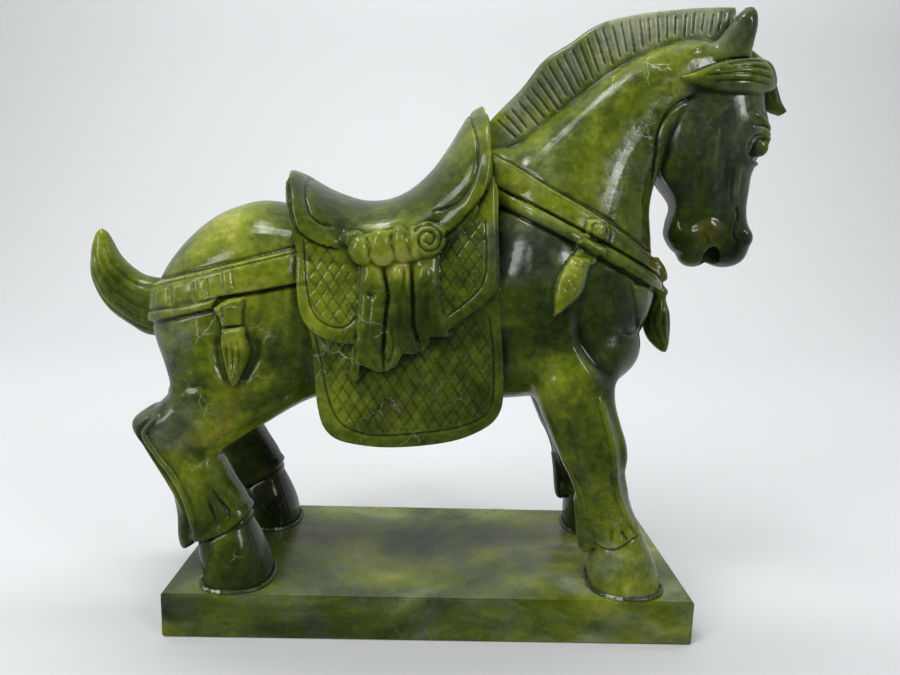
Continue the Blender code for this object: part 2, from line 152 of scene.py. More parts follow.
# ----------------------------------------------------- the carving grid
H = 0.6                                   # mm
I0 = (-307, -96, 33)                      # first voxel, in steps of H
NX, NY, NZ = 607, 97, 484                 # y runs up to 0: the far half mirrors it
XS = (np.arange(NX) + I0[0]) * H
YS = (np.arange(NY) + I0[1]) * H
ZS = (np.arange(NZ) + I0[2]) * H
XX = XS[:, None].astype(np.float32)
ZZ = ZS[None, :].astype(np.float32)
FAR = 9.0
D = np.full((NX, NY, NZ), FAR, np.float32)
TR = vdb.createLinearTransform(voxelSize=H)


def catmull(table, per):
    p = np.array([list(r) + [0.0] * (8 - len(r)) for r in table], float) if len(table[0]) > 3 else np.array(table, float)
    q = np.vstack([2 * p[0] - p[1], p, 2 * p[-1] - p[-2]])
    out = []
    for i in range(1, len(q) - 2):
        a, b, c, d = q[i - 1], q[i], q[i + 1], q[i + 2]
        for j in range(per):
            t = j / per
            out.append(0.5 * (2 * b + (c - a) * t + (2 * a - 5 * b + 4 * c - d) * t * t
                              + (3 * b - a - 3 * c + d) * t ** 3))
    out.append(p[-1])
    return np.array(out)


def loft(table, per=6, n=64):
    s = catmull(table, per)
    t = np.arange(n) * 2 * np.pi / n
    rings = []
    for rx, rz, fx, fz, half, side, full, bow in s:
        u = np.sign(np.cos(t)) * np.abs(np.cos(t)) ** (2 / full)
        v = np.sign(np.sin(t)) * np.abs(np.sin(t)) ** (2 / full)
        ax, az = (fx - rx) / 2, (fz - rz) / 2
        ln = math.hypot(ax, az) or 1.0
        w = bow * (1 - u * u)
        rings.append(np.stack([(rx + fx) / 2 + u * ax + w * az / ln, side + v * half,
                               (rz + fz) / 2 + u * az - w * ax / ln], 1))
    return skin(rings)


def skin(rings):
    n, m = len(rings[0]), len(rings)
    v = np.vstack(rings + [rings[0].mean(0)[None], rings[-1].mean(0)[None]])
    i, j = np.meshgrid(np.arange(m - 1), np.arange(n), indexing="ij")
    a = (i * n + j).ravel()
    b = (i * n + (j + 1) % n).ravel()
    f = [np.stack([a, b, b + n], 1), np.stack([a, b + n, a + n], 1)]
    k = np.arange(n)
    f.append(np.stack([np.full(n, m * n), (k + 1) % n, k], 1))
    f.append(np.stack([np.full(n, m * n + 1), (m - 1) * n + k, (m - 1) * n + (k + 1) % n], 1))
    return v.astype(np.float32), np.vstack(f).astype(np.uint32)


def window(lo, hi):
    s = []
    for k, (n, i0) in enumerate(zip((NX, NY, NZ), I0)):
        a = max(0, int(math.floor(lo[k] / H)) - i0)
        b = min(n, int(math.ceil(hi[k] / H)) - i0 + 1)
        s.append(slice(a, max(a + 1, b)))
    return tuple(s)


def level(mesh, half=12):
    """Distance to a closed mesh, as (window, array)."""
    v, f = mesh
    g = vdb.FloatGrid.createLevelSetFromPolygons(v, triangles=f, transform=TR, halfWidth=float(half))
    w = window(v.min(0) - half * H, v.max(0) + half * H)
    a = np.empty([s.stop - s.start for s in w], np.float32)
    g.copyToArray(a, ijk=tuple(int(s.start + i) for s, i in zip(w, I0)))
    return w, a


def add(w, a, k=0.0):
    s = D[w]
    if k:
        h = np.maximum(k - np.abs(s - a), 0)
        np.minimum(s, a, out=s)
        s -= h * h / (4 * k)
    else:
        np.minimum(s, a, out=s)


def cut(w, a, k=0.0):
    s = D[w]
    b = -a
    if k:
        h = np.maximum(k - np.abs(s - b), 0)
        np.maximum(s, b, out=s)
        s += h * h / (4 * k)
    else:
        np.maximum(s, b, out=s)


def coords(w):
    return (XS[w[0]][:, None, None].astype(np.float32), YS[w[1]][None, :, None].astype(np.float32),
            ZS[w[2]][None, None, :].astype(np.float32))


def ball(c, r, tilt=0.0, yaw=0.0, pad=5.0):
    """Distance to an ellipsoid, tilted in XZ by tilt and turned about Z by yaw."""
    m = max(r) + pad
    w = window([c[0] - m, c[1] - m, c[2] - m], [c[0] + m, c[1] + m, c[2] + m])
    x, y, z = coords(w)
    x, y, z = x - c[0], y - c[1], z - c[2]
    x, y = x * math.cos(yaw) + y * math.sin(yaw), -x * math.sin(yaw) + y * math.cos(yaw)
    x, z = x * math.cos(tilt) + z * math.sin(tilt), -x * math.sin(tilt) + z * math.cos(tilt)
    k0 = np.sqrt((x / r[0]) ** 2 + (y / r[1]) ** 2 + (z / r[2]) ** 2)
    k1 = np.sqrt((x / r[0] ** 2) ** 2 + (y / r[1] ** 2) ** 2 + (z / r[2] ** 2) ** 2)
    return w, (k0 * (k0 - 1) / np.maximum(k1, 1e-6)).astype(np.float32)


def at(y, pts):
    """Points given on the middle plane, carried along the line of sight to depth y."""
    s = (358.066 + y) / 358.066
    return [(EYE[0] + (p[0] - EYE[0]) * s, EYE[2] + (p[1] - EYE[2]) * s) + tuple(p[2:]) for p in pts]


def smooth(pts, per=6):
    return catmull([tuple(p) for p in pts], per) if len(pts) > 2 else np.array(pts, float)


def segs(pts, x, z):
    """Distance, side and run along a polyline for points x, z."""
    best = np.full(np.broadcast(x, z).shape, 1e9, np.float32)
    run = np.zeros_like(best)
    total = 0.0
    for (ax, az), (bx, bz) in zip(pts[:-1], pts[1:]):
        dx, dz = bx - ax, bz - az
        l2 = dx * dx + dz * dz + 1e-9
        t = np.clip(((x - ax) * dx + (z - az) * dz) / l2, 0, 1)
        d = (x - ax - t * dx) ** 2 + (z - az - t * dz) ** 2
        near = d < best
        best = np.where(near, d, best)
        run = np.where(near, total + t * math.sqrt(l2), run)
        total += math.sqrt(l2)
    return np.sqrt(best), run, total


def win2(pts, pad):
    p = np.array(pts)[:, :2]
    lo, hi = p.min(0) - pad, p.max(0) + pad
    w = window([lo[0], -1, lo[1]], [hi[0], 0, hi[1]])
    return w[0], w[2]


def inside(pts, pad=8.0):
    """Signed distance in XZ to a closed outline, as (x window, z window, array)."""
    p = np.array(pts, float)
    wx, wz = win2(p, pad)
    x, z = XX[wx], ZZ[:, wz]
    d, _, _ = segs(np.vstack([p, p[:1]]), x, z)
    odd = np.zeros(d.shape, bool)
    for (ax, az), (bx, bz) in zip(p, np.roll(p, -1, 0)):
        if az == bz:
            continue
        c = ((az > z) != (bz > z)) & (x < (bx - ax) * (z - az) / (bz - az) + ax)
        odd ^= c
    return wx, wz, np.where(odd, -d, d).astype(np.float32)


GROOVE_SHADE = np.zeros((NX, NY, NZ), np.float16)    # where a line was cut, for painted shade along the groove


def press(wx, wz, m, y0=-60.0, y1=0.0, dark=None):
    """Adds a height map (mm, positive cuts in) to the surface between two depths."""
    wy = window([0, y0, 30], [0, y1, 30])[1]
    keep = np.ones(len(YS[wy]), np.float32)
    if -15 <= y1 <= -3 or y1 == -45:                        # dies out towards the middle, no hard end
        keep = np.clip((y1 - YS[wy]) / 5.0, 0, 1).astype(np.float32)
        keep = keep * keep * (3 - 2 * keep)
    add_ = m[:, None, :].astype(np.float32) * keep[None, :, None]
    near = D[wx, wy, wz]
    add_[(add_ < 0) & (near > 6.6)] = 0                     # reliefs only swell stone that is close by
    near += add_
    # painted shade along the cut, kept in the groove shade grid
    if dark is not None:
        g = GROOVE_SHADE[wx, wy, wz]
        np.maximum(g, (dark[:, None, :] * keep[None, :, None]).astype(np.float16), out=g)


def soft(f):
    return f * f * (3 - 2 * f)


def stroke(pts, width, depth, y0=-60.0, y1=0.0, taper=0.0, blur=False, spline=True, dark=None):
    """A carved line (depth > 0) or a raised cord (depth < 0)."""
    p = smooth(pts)[:, :2] if spline else np.array(pts, float)
    wx, wz = win2(p, width + 1)
    d, run, total = segs(p, XX[wx], ZZ[:, wz])
    f = np.clip(1 - d / width, 0, 1)
    if blur:
        f = soft(f)
    elif depth < 0:
        f = np.sqrt(1 - (1 - f) ** 2)
    if taper:
        f = f * np.clip(np.minimum(run, total - run) / taper, 0, 1)
    if dark is None:
        dark = 1.0 if depth > 0 and not blur else 0.0
    press(wx, wz, depth * f, y0, y1, dark * f if dark else None)


def bump(c, r, h, tilt=0.0, y0=-60.0, y1=0.0):
    """A soft swelling (h > 0) or hollow (h < 0)."""
    m = max(r)
    wx, wz = win2([(c[0] - m, c[1] - m), (c[0] + m, c[1] + m)], 1)
    x, z = XX[wx] - c[0], ZZ[:, wz] - c[1]
    x, z = x * math.cos(tilt) + z * math.sin(tilt), -x * math.sin(tilt) + z * math.cos(tilt)
    q = np.clip(1 - (x / r[0]) ** 2 - (z / r[1]) ** 2, 0, 1)
    press(wx, wz, -h * soft(q), y0, y1)


def relief(pts, h, edge, y0=-60.0, y1=0.0, spline=True, flat=False):
    """A raised pad with rounded edges, from its outline."""
    p = smooth(list(pts) + [pts[0]])[:-1, :2] if spline else pts
    wx, wz, d = inside(p, 3)
    f = np.clip(-d / edge, 0, 1)
    f = np.sqrt(1 - (1 - f) ** 2)
    press(wx, wz, -h * f, y0, y1)


def lip(pts, far, rise, fade, y0=-60.0, y1=-14.0, gap=0.9, dark=1.0):
    """A rim standing up along one side of a line and a shadow cut along the other."""
    p = smooth(pts)[:, :2]
    wx, wz, d = inside(np.vstack([p, np.array(far, float)]), 3)
    dl, run, total = segs(p, XX[wx], ZZ[:, wz])
    h = np.sqrt(1 - (1 - np.clip(dl / 1.1, 0, 1)) ** 2) * (1 - soft(np.clip((dl - 1.4) / fade, 0, 1)))
    out = np.clip(1 - dl / 1.5, 0, 1)
    ends = np.clip(np.minimum(run, total - run) / 4, 0, 1)
    press(wx, wz, (np.where(d < 0, -rise * h, gap * out)) * ends, y0, y1,
          np.where(d < 0, 0, np.clip(1 - dl / 1.2, 0, 1)) * ends * dark)


def lerp(table, v):
    t = np.array(table, float)
    return np.interp(v, t[:, 0], t[:, 1])


def hatch(region, field, wide, tall, phase=(0, 0), width=0.68, depth=0.5):
    """Diamond cross-hatching inside a region (distance map, negative inside)."""
    wx, wz, d = region
    x, z = XX[wx] - phase[0], ZZ[:, wz] - phase[1]
    k = 1 / math.hypot(1 / wide, 1 / tall)
    bend = 0.35 * np.sin(x * 0.21 + z * 0.13) + 0.25 * np.sin(z * 0.31 - x * 0.17)
    g = np.zeros(d.shape, np.float32)
    for sgn in (1, -1):
        q = x / wide + sgn * z / tall + 0.12 * bend
        e = np.abs(q - np.round(q)) * k
        g = np.maximum(g, np.clip(1 - e / width, 0, 1))
    keep = np.clip((-field - d) / 0.8, 0, 1)
    press(wx, wz, depth * g * keep, -60, -30, g * keep * 0.85)


# ------------------------------------------------------------ body masses
add(*level(loft(TORSO), 18))
add(*level(loft(NECK), 18), 8)
add(*ball((81.5, -19.5, 140.5), (20, 18, 18.5)), 1.8)
add(*ball((88, -16.5, 161), (17, 17.5, 14.5)), 2.5)

add(*ball((28, -4, 215), (19, 22, 20)), 8)                   # withers

# anatomy on the trunk
bump((44, 168), (30, 34), 2.0, 0.4, y1=-20)                 # shoulder blade
bump((-98, 150), (34, 42), 1.6, 0.2, y1=-20)                # haunch
bump((-62, 158), (7, 50), -1.6, 0.0)                        # flank behind the cloths
tx, tz = window([22, 0, 164], [48, 0, 222])[0::2]
press(tx, tz, 6.2 * (np.clip((43.5 - XX[tx]) / 16, 0, 1) ** 1.15) * soft(np.clip((ZZ[:, tz] - 166) / 14, 0, 1))
      * soft(np.clip((218 - ZZ[:, tz]) / 10, 0, 1)), y1=-15)
bump((60, 172), (20, 30), 1.6, 0.3, y1=-15)
bump((44, 140), (16, 18), 1.5, 0.0, y1=-15)

# breast strap: flat band above, round roll below, in one sloping plane
sx, sz = window([24, 0, 160], [125, 0, 240])[0::2]
cr = 218.8 - 0.49 * (XX[sx] - 24)
sd = (ZZ[:, sz] - cr) / math.hypot(1, 0.49)
top = np.interp(XX[sx], [24, 38, 52, 66, 78, 91, 105], [12.0, 11.4, 9.2, 8.7, 8.2, 6.6, 5.6])
fade = np.clip((XX[sx] - 23.5) / 1.5, 0, 1)
band = soft(np.clip((top - sd) / 0.9, 0, 1) * np.clip((sd + 1.6) / 0.9, 0, 1))
roll = np.sqrt(np.clip(1 - ((sd + 5.0) / 3.4) ** 2, 0, 1))
press(sx, sz, -(2.4 * band + 3.4 * roll) * fade, dark=0.55 * np.clip(1 - np.abs(sd + 1.8) / 0.7, 0, 1) * fade)
press(sx, sz, 0.6 * np.clip(1 - np.abs(sd - top + 1.9) / 0.7, 0, 1) * fade,
      dark=0.35 * np.clip(1 - np.abs(sd - top + 1.9) / 0.8, 0, 1) * fade)
press(sx, sz, 0.6 * np.clip(1 - np.abs(sd - top - 0.7) / 1.2, 0, 1) * fade,
      dark=0.4 * np.clip(1 - np.abs(sd - top - 0.4) / 0.7, 0, 1) * fade)
press(sx, sz, 0.7 * soft(np.clip(1 - np.abs(sd + 9.0) / 1.8, 0, 1)) * fade,
      dark=0.35 * np.clip(1 - np.abs(sd + 8.6) / 0.8, 0, 1) * fade)

# crupper strap
sx, sz = window([-142, 0, 140], [-58, 0, 196])[0::2]
cr = 156.6 + 0.262 * (XX[sx] + 133)
sd = (ZZ[:, sz] - cr) / math.hypot(1, 0.262)
lowline = np.interp(XX[sx], [-135, -117, -97, -80, -66], [-2.1, -3.5, -3.5, -4.9, -5.6])
rear = np.clip((-99 - XX[sx]) / 3, 0, 1)
floor_ = lowline * (1 - rear) - 7.6 * rear
band = soft(np.clip((10.2 - sd) / 1.0, 0, 1) * np.clip((sd - floor_) / 1.0, 0, 1))
roll = np.sqrt(np.clip(1 - ((sd + 5.2) / 2.6) ** 2, 0, 1)) * rear
line = np.clip(1 - np.abs(sd - lowline) / 0.85, 0, 1)
press(sx, sz, -(1.9 * band + 1.0 * roll) + 1.2 * line, dark=line)
line = np.clip(1 - np.abs(sd - 8.2) / 0.8, 0, 1)
press(sx, sz, 0.8 * line, dark=0.8 * line)
line = np.clip(1 - np.abs(sd - 10.7) / 1.2, 0, 1)
press(sx, sz, 0.7 * line, dark=0.5 * line)
under = np.clip(1 - np.abs(sd - floor_ + 0.8) / 1.5, 0, 1)
press(sx, sz, 1.0 * under, dark=0.7 * under)

add(*level(loft(FORELEG), 16), 8)
add(*level(loft(HINDLEG), 16), 9)
add(*level(loft(TAIL), 14), 3)

# legs
for r, d in ((6.5, 1.9),):
    stroke([(54.9, 118.7), (63.8, 103.9), (67.7, 92.2), (71.7, 79.5), (77.3, 68.4), (80.9, 54.0)], 5.0, 1.7,
           y1=-34, taper=14, blur=True)
stroke([(76.6, 120.8), (81.5, 106.0), (84.7, 94.3), (86.8, 81.6), (89.1, 72.2), (92.5, 64.4), (97.3, 54.9)], 1.7,
       -1.2, y1=-36, taper=8)
stroke([(80.5, 118), (85.5, 106.0), (88.5, 94.3), (90.5, 81.6), (93, 72.2), (96.5, 64.4), (100.5, 56)], 3.0, 1.0,
       y1=-34, taper=8, blur=True)
stroke([(60.6, 91), (66.0, 80.5), (71.3, 69.3), (74.3, 55.3)], 1.8, -0.9, y1=-38, taper=8)
stroke([(90.6, 55.6), (94.3, 49.0)], 1.4, 1.0, y1=-36, taper=2, spline=False)
bump((88, 92), (9, 12), 1.2, 0.0, y1=-40)
bump((62, 128), (18, 15), 2.0, 0.5, y1=-36)
stroke([(62.5, 163), (65.5, 153), (68.6, 143.5), (75.4, 134.0), (82.0, 128.4), (87, 126)], 5.0, 2.2, y0=-60, y1=-24,
       taper=12, blur=True, dark=0.12)
stroke([(84, 152.5), (92, 149.6), (100, 148.8)], 2.6, 1.4, y0=-60, y1=-8, taper=5, blur=True)
stroke([(-127, 110), (-130.7, 103.6), (-134.3, 97.2), (-128.0, 85.9), (-122.1, 77.4), (-117.7, 67.4),
        (-114.6, 57.2), (-112.8, 46.4)], 1.6, -1.2, y1=-36, taper=6)
stroke([(-131, 106), (-137.3, 97.4), (-131.0, 85.5), (-125.2, 75.6), (-120.7, 65.5), (-118.2, 55.7), (-116.8, 45.4)],
       1.9, 1.2, y1=-36, taper=6, blur=True, dark=0.3)
bump((-124.6, 101.5), (9, 8), 1.6, 0.4, y1=-36)
bump((-112.3, 87.3), (8, 7), -2.2, 0.6, y1=-36)
stroke([(-112.9, 89.1), (-107.3, 92.8), (-99.0, 99.4), (-89.4, 104.5), (-73.0, 111.2), (-61.4, 116.4)], 4.0, -1.3,
       y1=-30, taper=8, blur=True)
stroke([(-122.3, 117.0), (-127.7, 113.1), (-134.9, 106.8)], 2.4, 1.2, y1=-26, taper=4, blur=True, dark=0.4)
stroke([(-122.3, 118.0), (-108, 121), (-96, 117)], 4, 1.2, y1=-30, taper=10, blur=True)
stroke([(-106.6, 68.3), (-104.1, 60.3), (-100.9, 51.5)], 1.6, 1.0, y1=-38, taper=5)
stroke([(-101.2, 66.3), (-97.9, 60.5), (-95.2, 54.4)], 1.5, 1.0, y1=-38, taper=4)
stroke([(-104.8, 72.3), (-99.5, 63.4), (-94.2, 57.6)], 1.4, 0.8, y1=-38, taper=4)

add(*level(loft(FORESPUR)), 2.5)
add(*level(loft(HINDSPUR)), 2.5)
add(*level(loft(FOREHOOF)), 0.8)
add(*level(loft(HINDHOOF)), 0.8)

lip([(78.0, 47.6), (84.0, 45.4), (90.0, 46.6), (95.0, 49.6), (99.5, 51.6), (104, 52.4)], [(104, 66), (78, 64)], 0.9, 4.0, y1=-22,
    gap=0.8, dark=0.75)
lip([(-116.5, 42.0), (-110.1, 44.6), (-104.4, 46.8), (-96.0, 51.1), (-88.2, 57.0), (-85, 59.6)], [(-84, 72), (-116, 64)], 0.9, 4.0,
    y1=-22, gap=0.8, dark=0.75)
stroke([(94.5, 58), (97.0, 54.6), (99.0, 51.5)], 1.3, 1.0, y1=-30, taper=2, dark=0.5)
stroke([(86.0, 57), (86.8, 52), (86.2, 47.4)], 1.6, 0.7, y1=-36, taper=3, blur=True)

# tail strands
TT = catmull([(-137, 168), (-147, 167), (-156, 171), (-163, 178), (-166.5, 185), (-169, 190)], 6)
TB = catmull([(-137, 141), (-146, 136.5), (-158, 142), (-169.5, 151), (-176.5, 165), (-175.5, 181)], 6)
for k, fr in enumerate((0.16, 0.32, 0.5, 0.68, 0.84)):
    p = TT * (1 - fr) + TB * fr
    p = p[2 + (k % 2) * 3: len(p) - (3 if k % 2 else 1)]
    stroke(p, 1.1, 0.6, y1=-2.2, taper=9, spline=False, dark=0.35)

# side tassel on the breast strap
relief(at(-42, [(69.0, 183.7), (63.3, 174.7), (60.2, 163.9), (60.3, 155.0), (61.0, 152.6), (67.8, 157.8), (74.6, 165.1),
                (77.6, 175.1), (79.1, 181.6)]), 3.6, 7.0, y1=-20)
relief(at(-42, [(72.6, 187.4), (82.4, 184.8), (83.0, 180.6), (78.0, 178.5), (71.0, 178.9), (69.6, 183)]), 1.6, 2.6, y1=-20)
for p in ([(73.0, 177), (66, 170), (62.0, 157)], [(75.4, 176.5), (70.4, 169), (65, 158.5)], [(71, 176), (64.4, 170), (61.4, 161)],
          [(77.2, 175.5), (74.0, 168), (69, 161.5)]):
    stroke(at(-43, p), 0.7, 0.45, y1=-20, taper=6, dark=0.3)
stroke(at(-43, [(70, 181.5), (75, 179.7), (80, 181)]), 0.8, 0.7, y1=-20, dark=0.8)
# square boss and keeper
relief([(68.2, 201.6), (77.6, 202.2), (79.8, 196.2), (78.4, 190.8), (67.0, 194.2)], 2.0, 1.6, y1=-15, spline=False)
stroke([(70.2, 195.6), (71.2, 199.4), (75.8, 199.8), (77.4, 195.6), (75.2, 191.8), (71.2, 192.2), (70.2, 195.6)], 0.8, 0.9,
       y1=-15, dark=0.9)
bump((73.9, 195.4), (2.6, 2.6), 0.9, y1=-15)
relief([(62.6, 191.2), (67.0, 193.4), (77.6, 188.6), (77.2, 184.8), (71.7, 185.4), (62.6, 188.2)], 2.2, 1.6, y1=-15,
       spline=False)
# drop on the crupper
relief([(-101.6, 157.0), (-98.6, 153.0), (-97.4, 148.4), (-88.2, 149.6), (-88.0, 156.4), (-86.6, 163.0), (-94, 162)], 2.6, 2.2,
       y1=-20, spline=False)
relief([(-97.4, 148.4), (-98.0, 140.6), (-95.9, 130.2), (-92.3, 121.6), (-88.3, 127.6), (-84.8, 137.4), (-86.4, 144.6),
        (-88.0, 149.4)], 4.2, 4.0, y1=-20)
stroke([(-83.6, 147), (-81.6, 138), (-85.6, 128), (-91.0, 119.5)], 3.4, 1.3, y1=-20, taper=6, blur=True, dark=0.4)
stroke([(-99.4, 147), (-100.4, 138), (-98.0, 128), (-93.0, 119.5)], 3.0, 1.2, y1=-20, taper=6, blur=True, dark=0.4)
stroke([(-96.5, 158), (-95.8, 152)], 0.8, 0.7, y1=-20, spline=False, dark=0.8)
for p in ([(-94.8, 145), (-94.6, 137), (-93.4, 127)], [(-92.4, 145.5), (-91.9, 136), (-91.6, 126)],
          [(-90.0, 145.5), (-89.0, 138), (-89.5, 129)]):
    stroke(p, 0.9, 0.7, y1=-20, taper=4, dark=0.8)
stroke([(-97.2, 148.3), (-88.0, 149.7)], 0.8, 0.9, y1=-20, spline=False)
# plates along the crupper
for q in ([(-131.2, 163.6), (-123.4, 165.8), (-122.6, 157.6), (-130.6, 156.4)],
          [(-120.6, 166.2), (-110.4, 169.0), (-109.6, 160.6), (-119.8, 158.6)],
          [(-108.2, 169.2), (-104.0, 170.4), (-102.8, 161.0), (-107.2, 160.4)],
          [(-97.0, 174.4), (-93.2, 175.4), (-91.6, 165.8), (-95.4, 164.8)]):
    relief(q, 0.9, 1.0, y1=-15, spline=False)

# throat edge and the leaf-shaped facet under the strap
stroke(at(-20, [(109.6, 240.2), (105.1, 229.9), (102.4, 217.8), (101.7, 205.7), (102.8, 197.0)]), 2.2, -0.6, y1=-10,
       taper=6, blur=True)
relief(at(-24, [(98.7, 170.4), (101.7, 158.6), (104.4, 145.0), (107.9, 154.2), (112.0, 168.9)]), 1.6, 2.0, y1=-8,
       spline=False)
bump((92, 268), (40, 14), 0.8, 0.62, y1=-8)

# head
add(*level(loft(HEAD), 14), 1.2)
add(*ball((147.5, 0, 188.2), (11.5, 11.5, 8.6)), 3)
add(*ball((131.5, 0, 185.6), (7.2, 9.5, 6.2)), 2)
HY = -18
bump(at(HY, [(121, 241)])[0], (16, 26), 1.4, 0.0, y1=-6)
stroke(at(HY, [(108.9, 219.0), (108.4, 232.3), (108.9, 246.0), (112.8, 255.3), (119.9, 261.6), (129.4, 265.6)]), 2.0, 1.6,
       y1=-8, taper=6, blur=True, dark=0.8)
stroke(at(HY, [(138.3, 251.7), (139.4, 228.9), (141.9, 215.6), (143.2, 209.2)]), 2.4, -0.9, y1=-5, taper=10, blur=True)
stroke(at(HY, [(145.0, 240), (146.5, 226), (149.0, 212.0)]), 4.0, 1.3, y1=-5, taper=10, blur=True)
stroke(at(HY, [(152.3, 232.8), (152.8, 220.4), (154.1, 211.3)]), 1.8, -0.9, y1=-4, taper=6, blur=True)
stroke(at(HY, [(149.6, 231), (150.2, 220), (151.4, 211)]), 1.3, 0.9, y1=-4, taper=5, blur=True, dark=0.5)
stroke(at(HY, [(131.5, 243), (132.5, 228), (134.0, 214)]), 3.0, 0.8, y1=-5, taper=10, blur=True)
bump(at(HY, [(140.2, 198.4)])[0], (8.5, 7), 1.6, 0.0, y1=-4)
bump(at(HY, [(133.0, 203)])[0], (8, 5.5), -1.3, 0.2, y1=-4)
stroke(at(HY, [(153.0, 213.3), (156.3, 206.0), (154.6, 197.8), (157.0, 191.0)]), 1.5, 1.3, y1=-3, taper=4, dark=0.8)
bump(at(-10, [(160.2, 195.5)])[0], (4.0, 5.5), 1.2, 0.3, y1=-2)
# eye: hollow, ball, lids and brow
bump(at(-14, [(161.0, 240.5)])[0], (9.0, 8.5), -2.4, 0.3, y1=-3)
add(*ball((155.6, -12.6, 239.0), (4.9, 3.4, 4.6)), 0.3)
stroke(at(-14, [(155.5, 237.6), (157.2, 242.7), (162.4, 245.9), (167.2, 242.6)]), 1.3, -1.5, y1=-3, taper=2)
stroke(at(-14, [(155.9, 236.9), (158.6, 233.9), (162.4, 232.8), (164.6, 234.4)]), 1.2, -1.0, y1=-3, taper=2)
stroke(at(-14, [(156.4, 238.9), (158.4, 243.4), (162.8, 244.9), (166.0, 242.6), (166.2, 238), (162.4, 234.6), (158.4, 235.0),
                (156.4, 238.9)]), 0.7, 0.7, y1=-3, dark=0.9)
stroke(at(-14, [(155.3, 247.9), (161.8, 248.4), (169.1, 244.6)]), 1.9, -1.7, y1=-2, taper=3)
stroke(at(-14, [(156.0, 250.6), (162.4, 250.9), (168.6, 247.6)]), 0.8, 0.8, y1=-2, taper=2, dark=0.7)
stroke(at(-14, [(156.3, 257.2), (163.2, 253.0), (169.4, 247.6)]), 1.6, -1.0, y1=-2, taper=4)
stroke(at(-14, [(158.0, 258.4), (163.6, 255.0), (168.0, 251.6)]), 0.7, 0.7, y1=-2, taper=3, dark=0.6)
# mouth
wx, wz, d = inside(np.array(at(-10, [(137.6, 176), (137.3, 181.3), (137.4, 186.3), (139.5, 189.8), (143.0, 190.4),
                                     (145.6, 187.9), (146.6, 183), (144.5, 179.5), (141, 176)])), 5)
wy = window([0, -30, 30], [0, -4.5, 30])[1]
s = D[wx, wy, wz]
np.maximum(s, -d[:, None, :] + 0 * s, out=s)
# painted shade along the mouth's outline
g = GROOVE_SHADE[wx, wy, wz]
np.maximum(g, np.clip(1 - np.abs(d[:, None, :]) / 1.2, 0, 1).astype(np.float16) * 0.7 + 0 * g, out=g)
stroke(at(-12, [(139.5, 190.6), (137.5, 195.2), (133.5, 197)]), 1.2, 0.9, y1=-4, taper=3, dark=0.8)

# mane
add(*level(loft(MANE)), 1.2)
MO = catmull([(23, 250), (33, 257.5), (39, 264), (44.5, 271.6), (50, 279), (60.7, 286), (70, 293), (77, 297.5), (91, 301),
              (103, 303.4), (115, 304.5), (129, 306), (142.6, 307.4)], 8)
MI = catmull([(37, 239), (45.5, 244), (53, 249.5), (58.5, 254), (63.5, 259), (71.5, 266), (78.5, 272), (84.5, 276.5),
              (95, 282), (105, 286), (115, 289), (128, 291), (139.5, 292)], 8)
rm = np.concatenate([[0], np.cumsum(np.linalg.norm(np.diff(MO, axis=0), axis=1))])
for k in range(30):
    u = (k + 0.55 + 0.05 * math.sin(k * 2.4)) / 30 * rm[-1]
    o = np.array([np.interp(u, rm, MO[:, 0]), np.interp(u, rm, MO[:, 1])])
    n = np.array([np.interp(u, rm, MI[:, 0]), np.interp(u, rm, MI[:, 1])])
    dirn = (n - o) / np.linalg.norm(n - o)
    stroke([o + dirn * (2.6 + 0.5 * math.sin(k * 1.7)), n - dirn * (0.5 + 1.0 * ((k * 7) % 3))], 0.85, 1.1, y1=-2.4, taper=1.6,
           spline=False, dark=0.95)

# ears
add(*level(loft(EAR)), 3)
stroke(at(-14, [(139.0, 286), (144.0, 292.5), (148.6, 301)]), 4.2, 2.0, y1=-13, taper=5, blur=True, dark=0.25)
stroke(at(-14, [(118.8, 285.3), (126.6, 288.0), (133.5, 293.0)]), 3.0, -1.1, y1=-8, taper=6, blur=True)

# forelock
add(*level(loft(FORELOCK_SIDE)), 0.8)
add(*level(loft(FORELOCK_TIP)), 0.8)
for p in ([(136.4, 277.4), (147.9, 280.3), (160.0, 281.0)], [(131.5, 274.8), (149.7, 277.6), (163.2, 277.4)],
          [(126.7, 272.6), (145.0, 274.6), (164.6, 273.8)], [(130.2, 270.3), (148.8, 271.2), (163.4, 270.8)],
          [(141, 281.5), (149, 283.0), (157.0, 283.4)]):
    stroke(at(-16, p), 1.0, 0.85, y1=-2, taper=4, dark=0.9)
for p in ([(154, 284), (163, 274), (168.5, 260)], [(152, 280), (160, 271), (166, 259.5)], [(157, 286), (166, 275), (171, 261)]):
    stroke(p, 0.9, 0.7, y1=-1.5, taper=4, dark=0.8)

# front tassel
FT = [(109, 184, 114, 184, 3, 0, 2), (109, 179, 118, 178.5, 5.4, 0, 2), (111, 173.8, 119.6, 173, 4.8, 0, 2),
      (113, 171, 117.3, 170.6, 3.2, 0, 2), (111.5, 167.4, 120.3, 166.6, 5.2, 0, 2), (112.6, 163, 119.6, 162.4, 4.2, 0, 2),
      (109.5, 156, 122, 155, 6.2, 0, 2), (108.5, 149, 122.8, 148, 6.6, 0, 2), (111, 142, 122.9, 140, 5.4, 0, 2),
      (115.5, 137, 122.3, 135.5, 3.6, 0, 2), (119, 134.5, 121.5, 134, 1.6, 0, 2)]
add(*level(loft(FT)), 0.8)
for p in ([(115, 161), (112.5, 150), (119.5, 136.5)], [(117.5, 161), (117, 150), (121, 138)], [(119, 161), (120.6, 150), (121.8, 140)]):
    stroke(p, 0.9, 0.7, y1=-1.2, taper=3, dark=0.8)

# ------------------------------------------------ saddle and its cloths
F = np.full((NX, NY, NZ), FAR, np.float32)
w, a = level(loft(CLOTH_FORM), 16)
F[w] = a


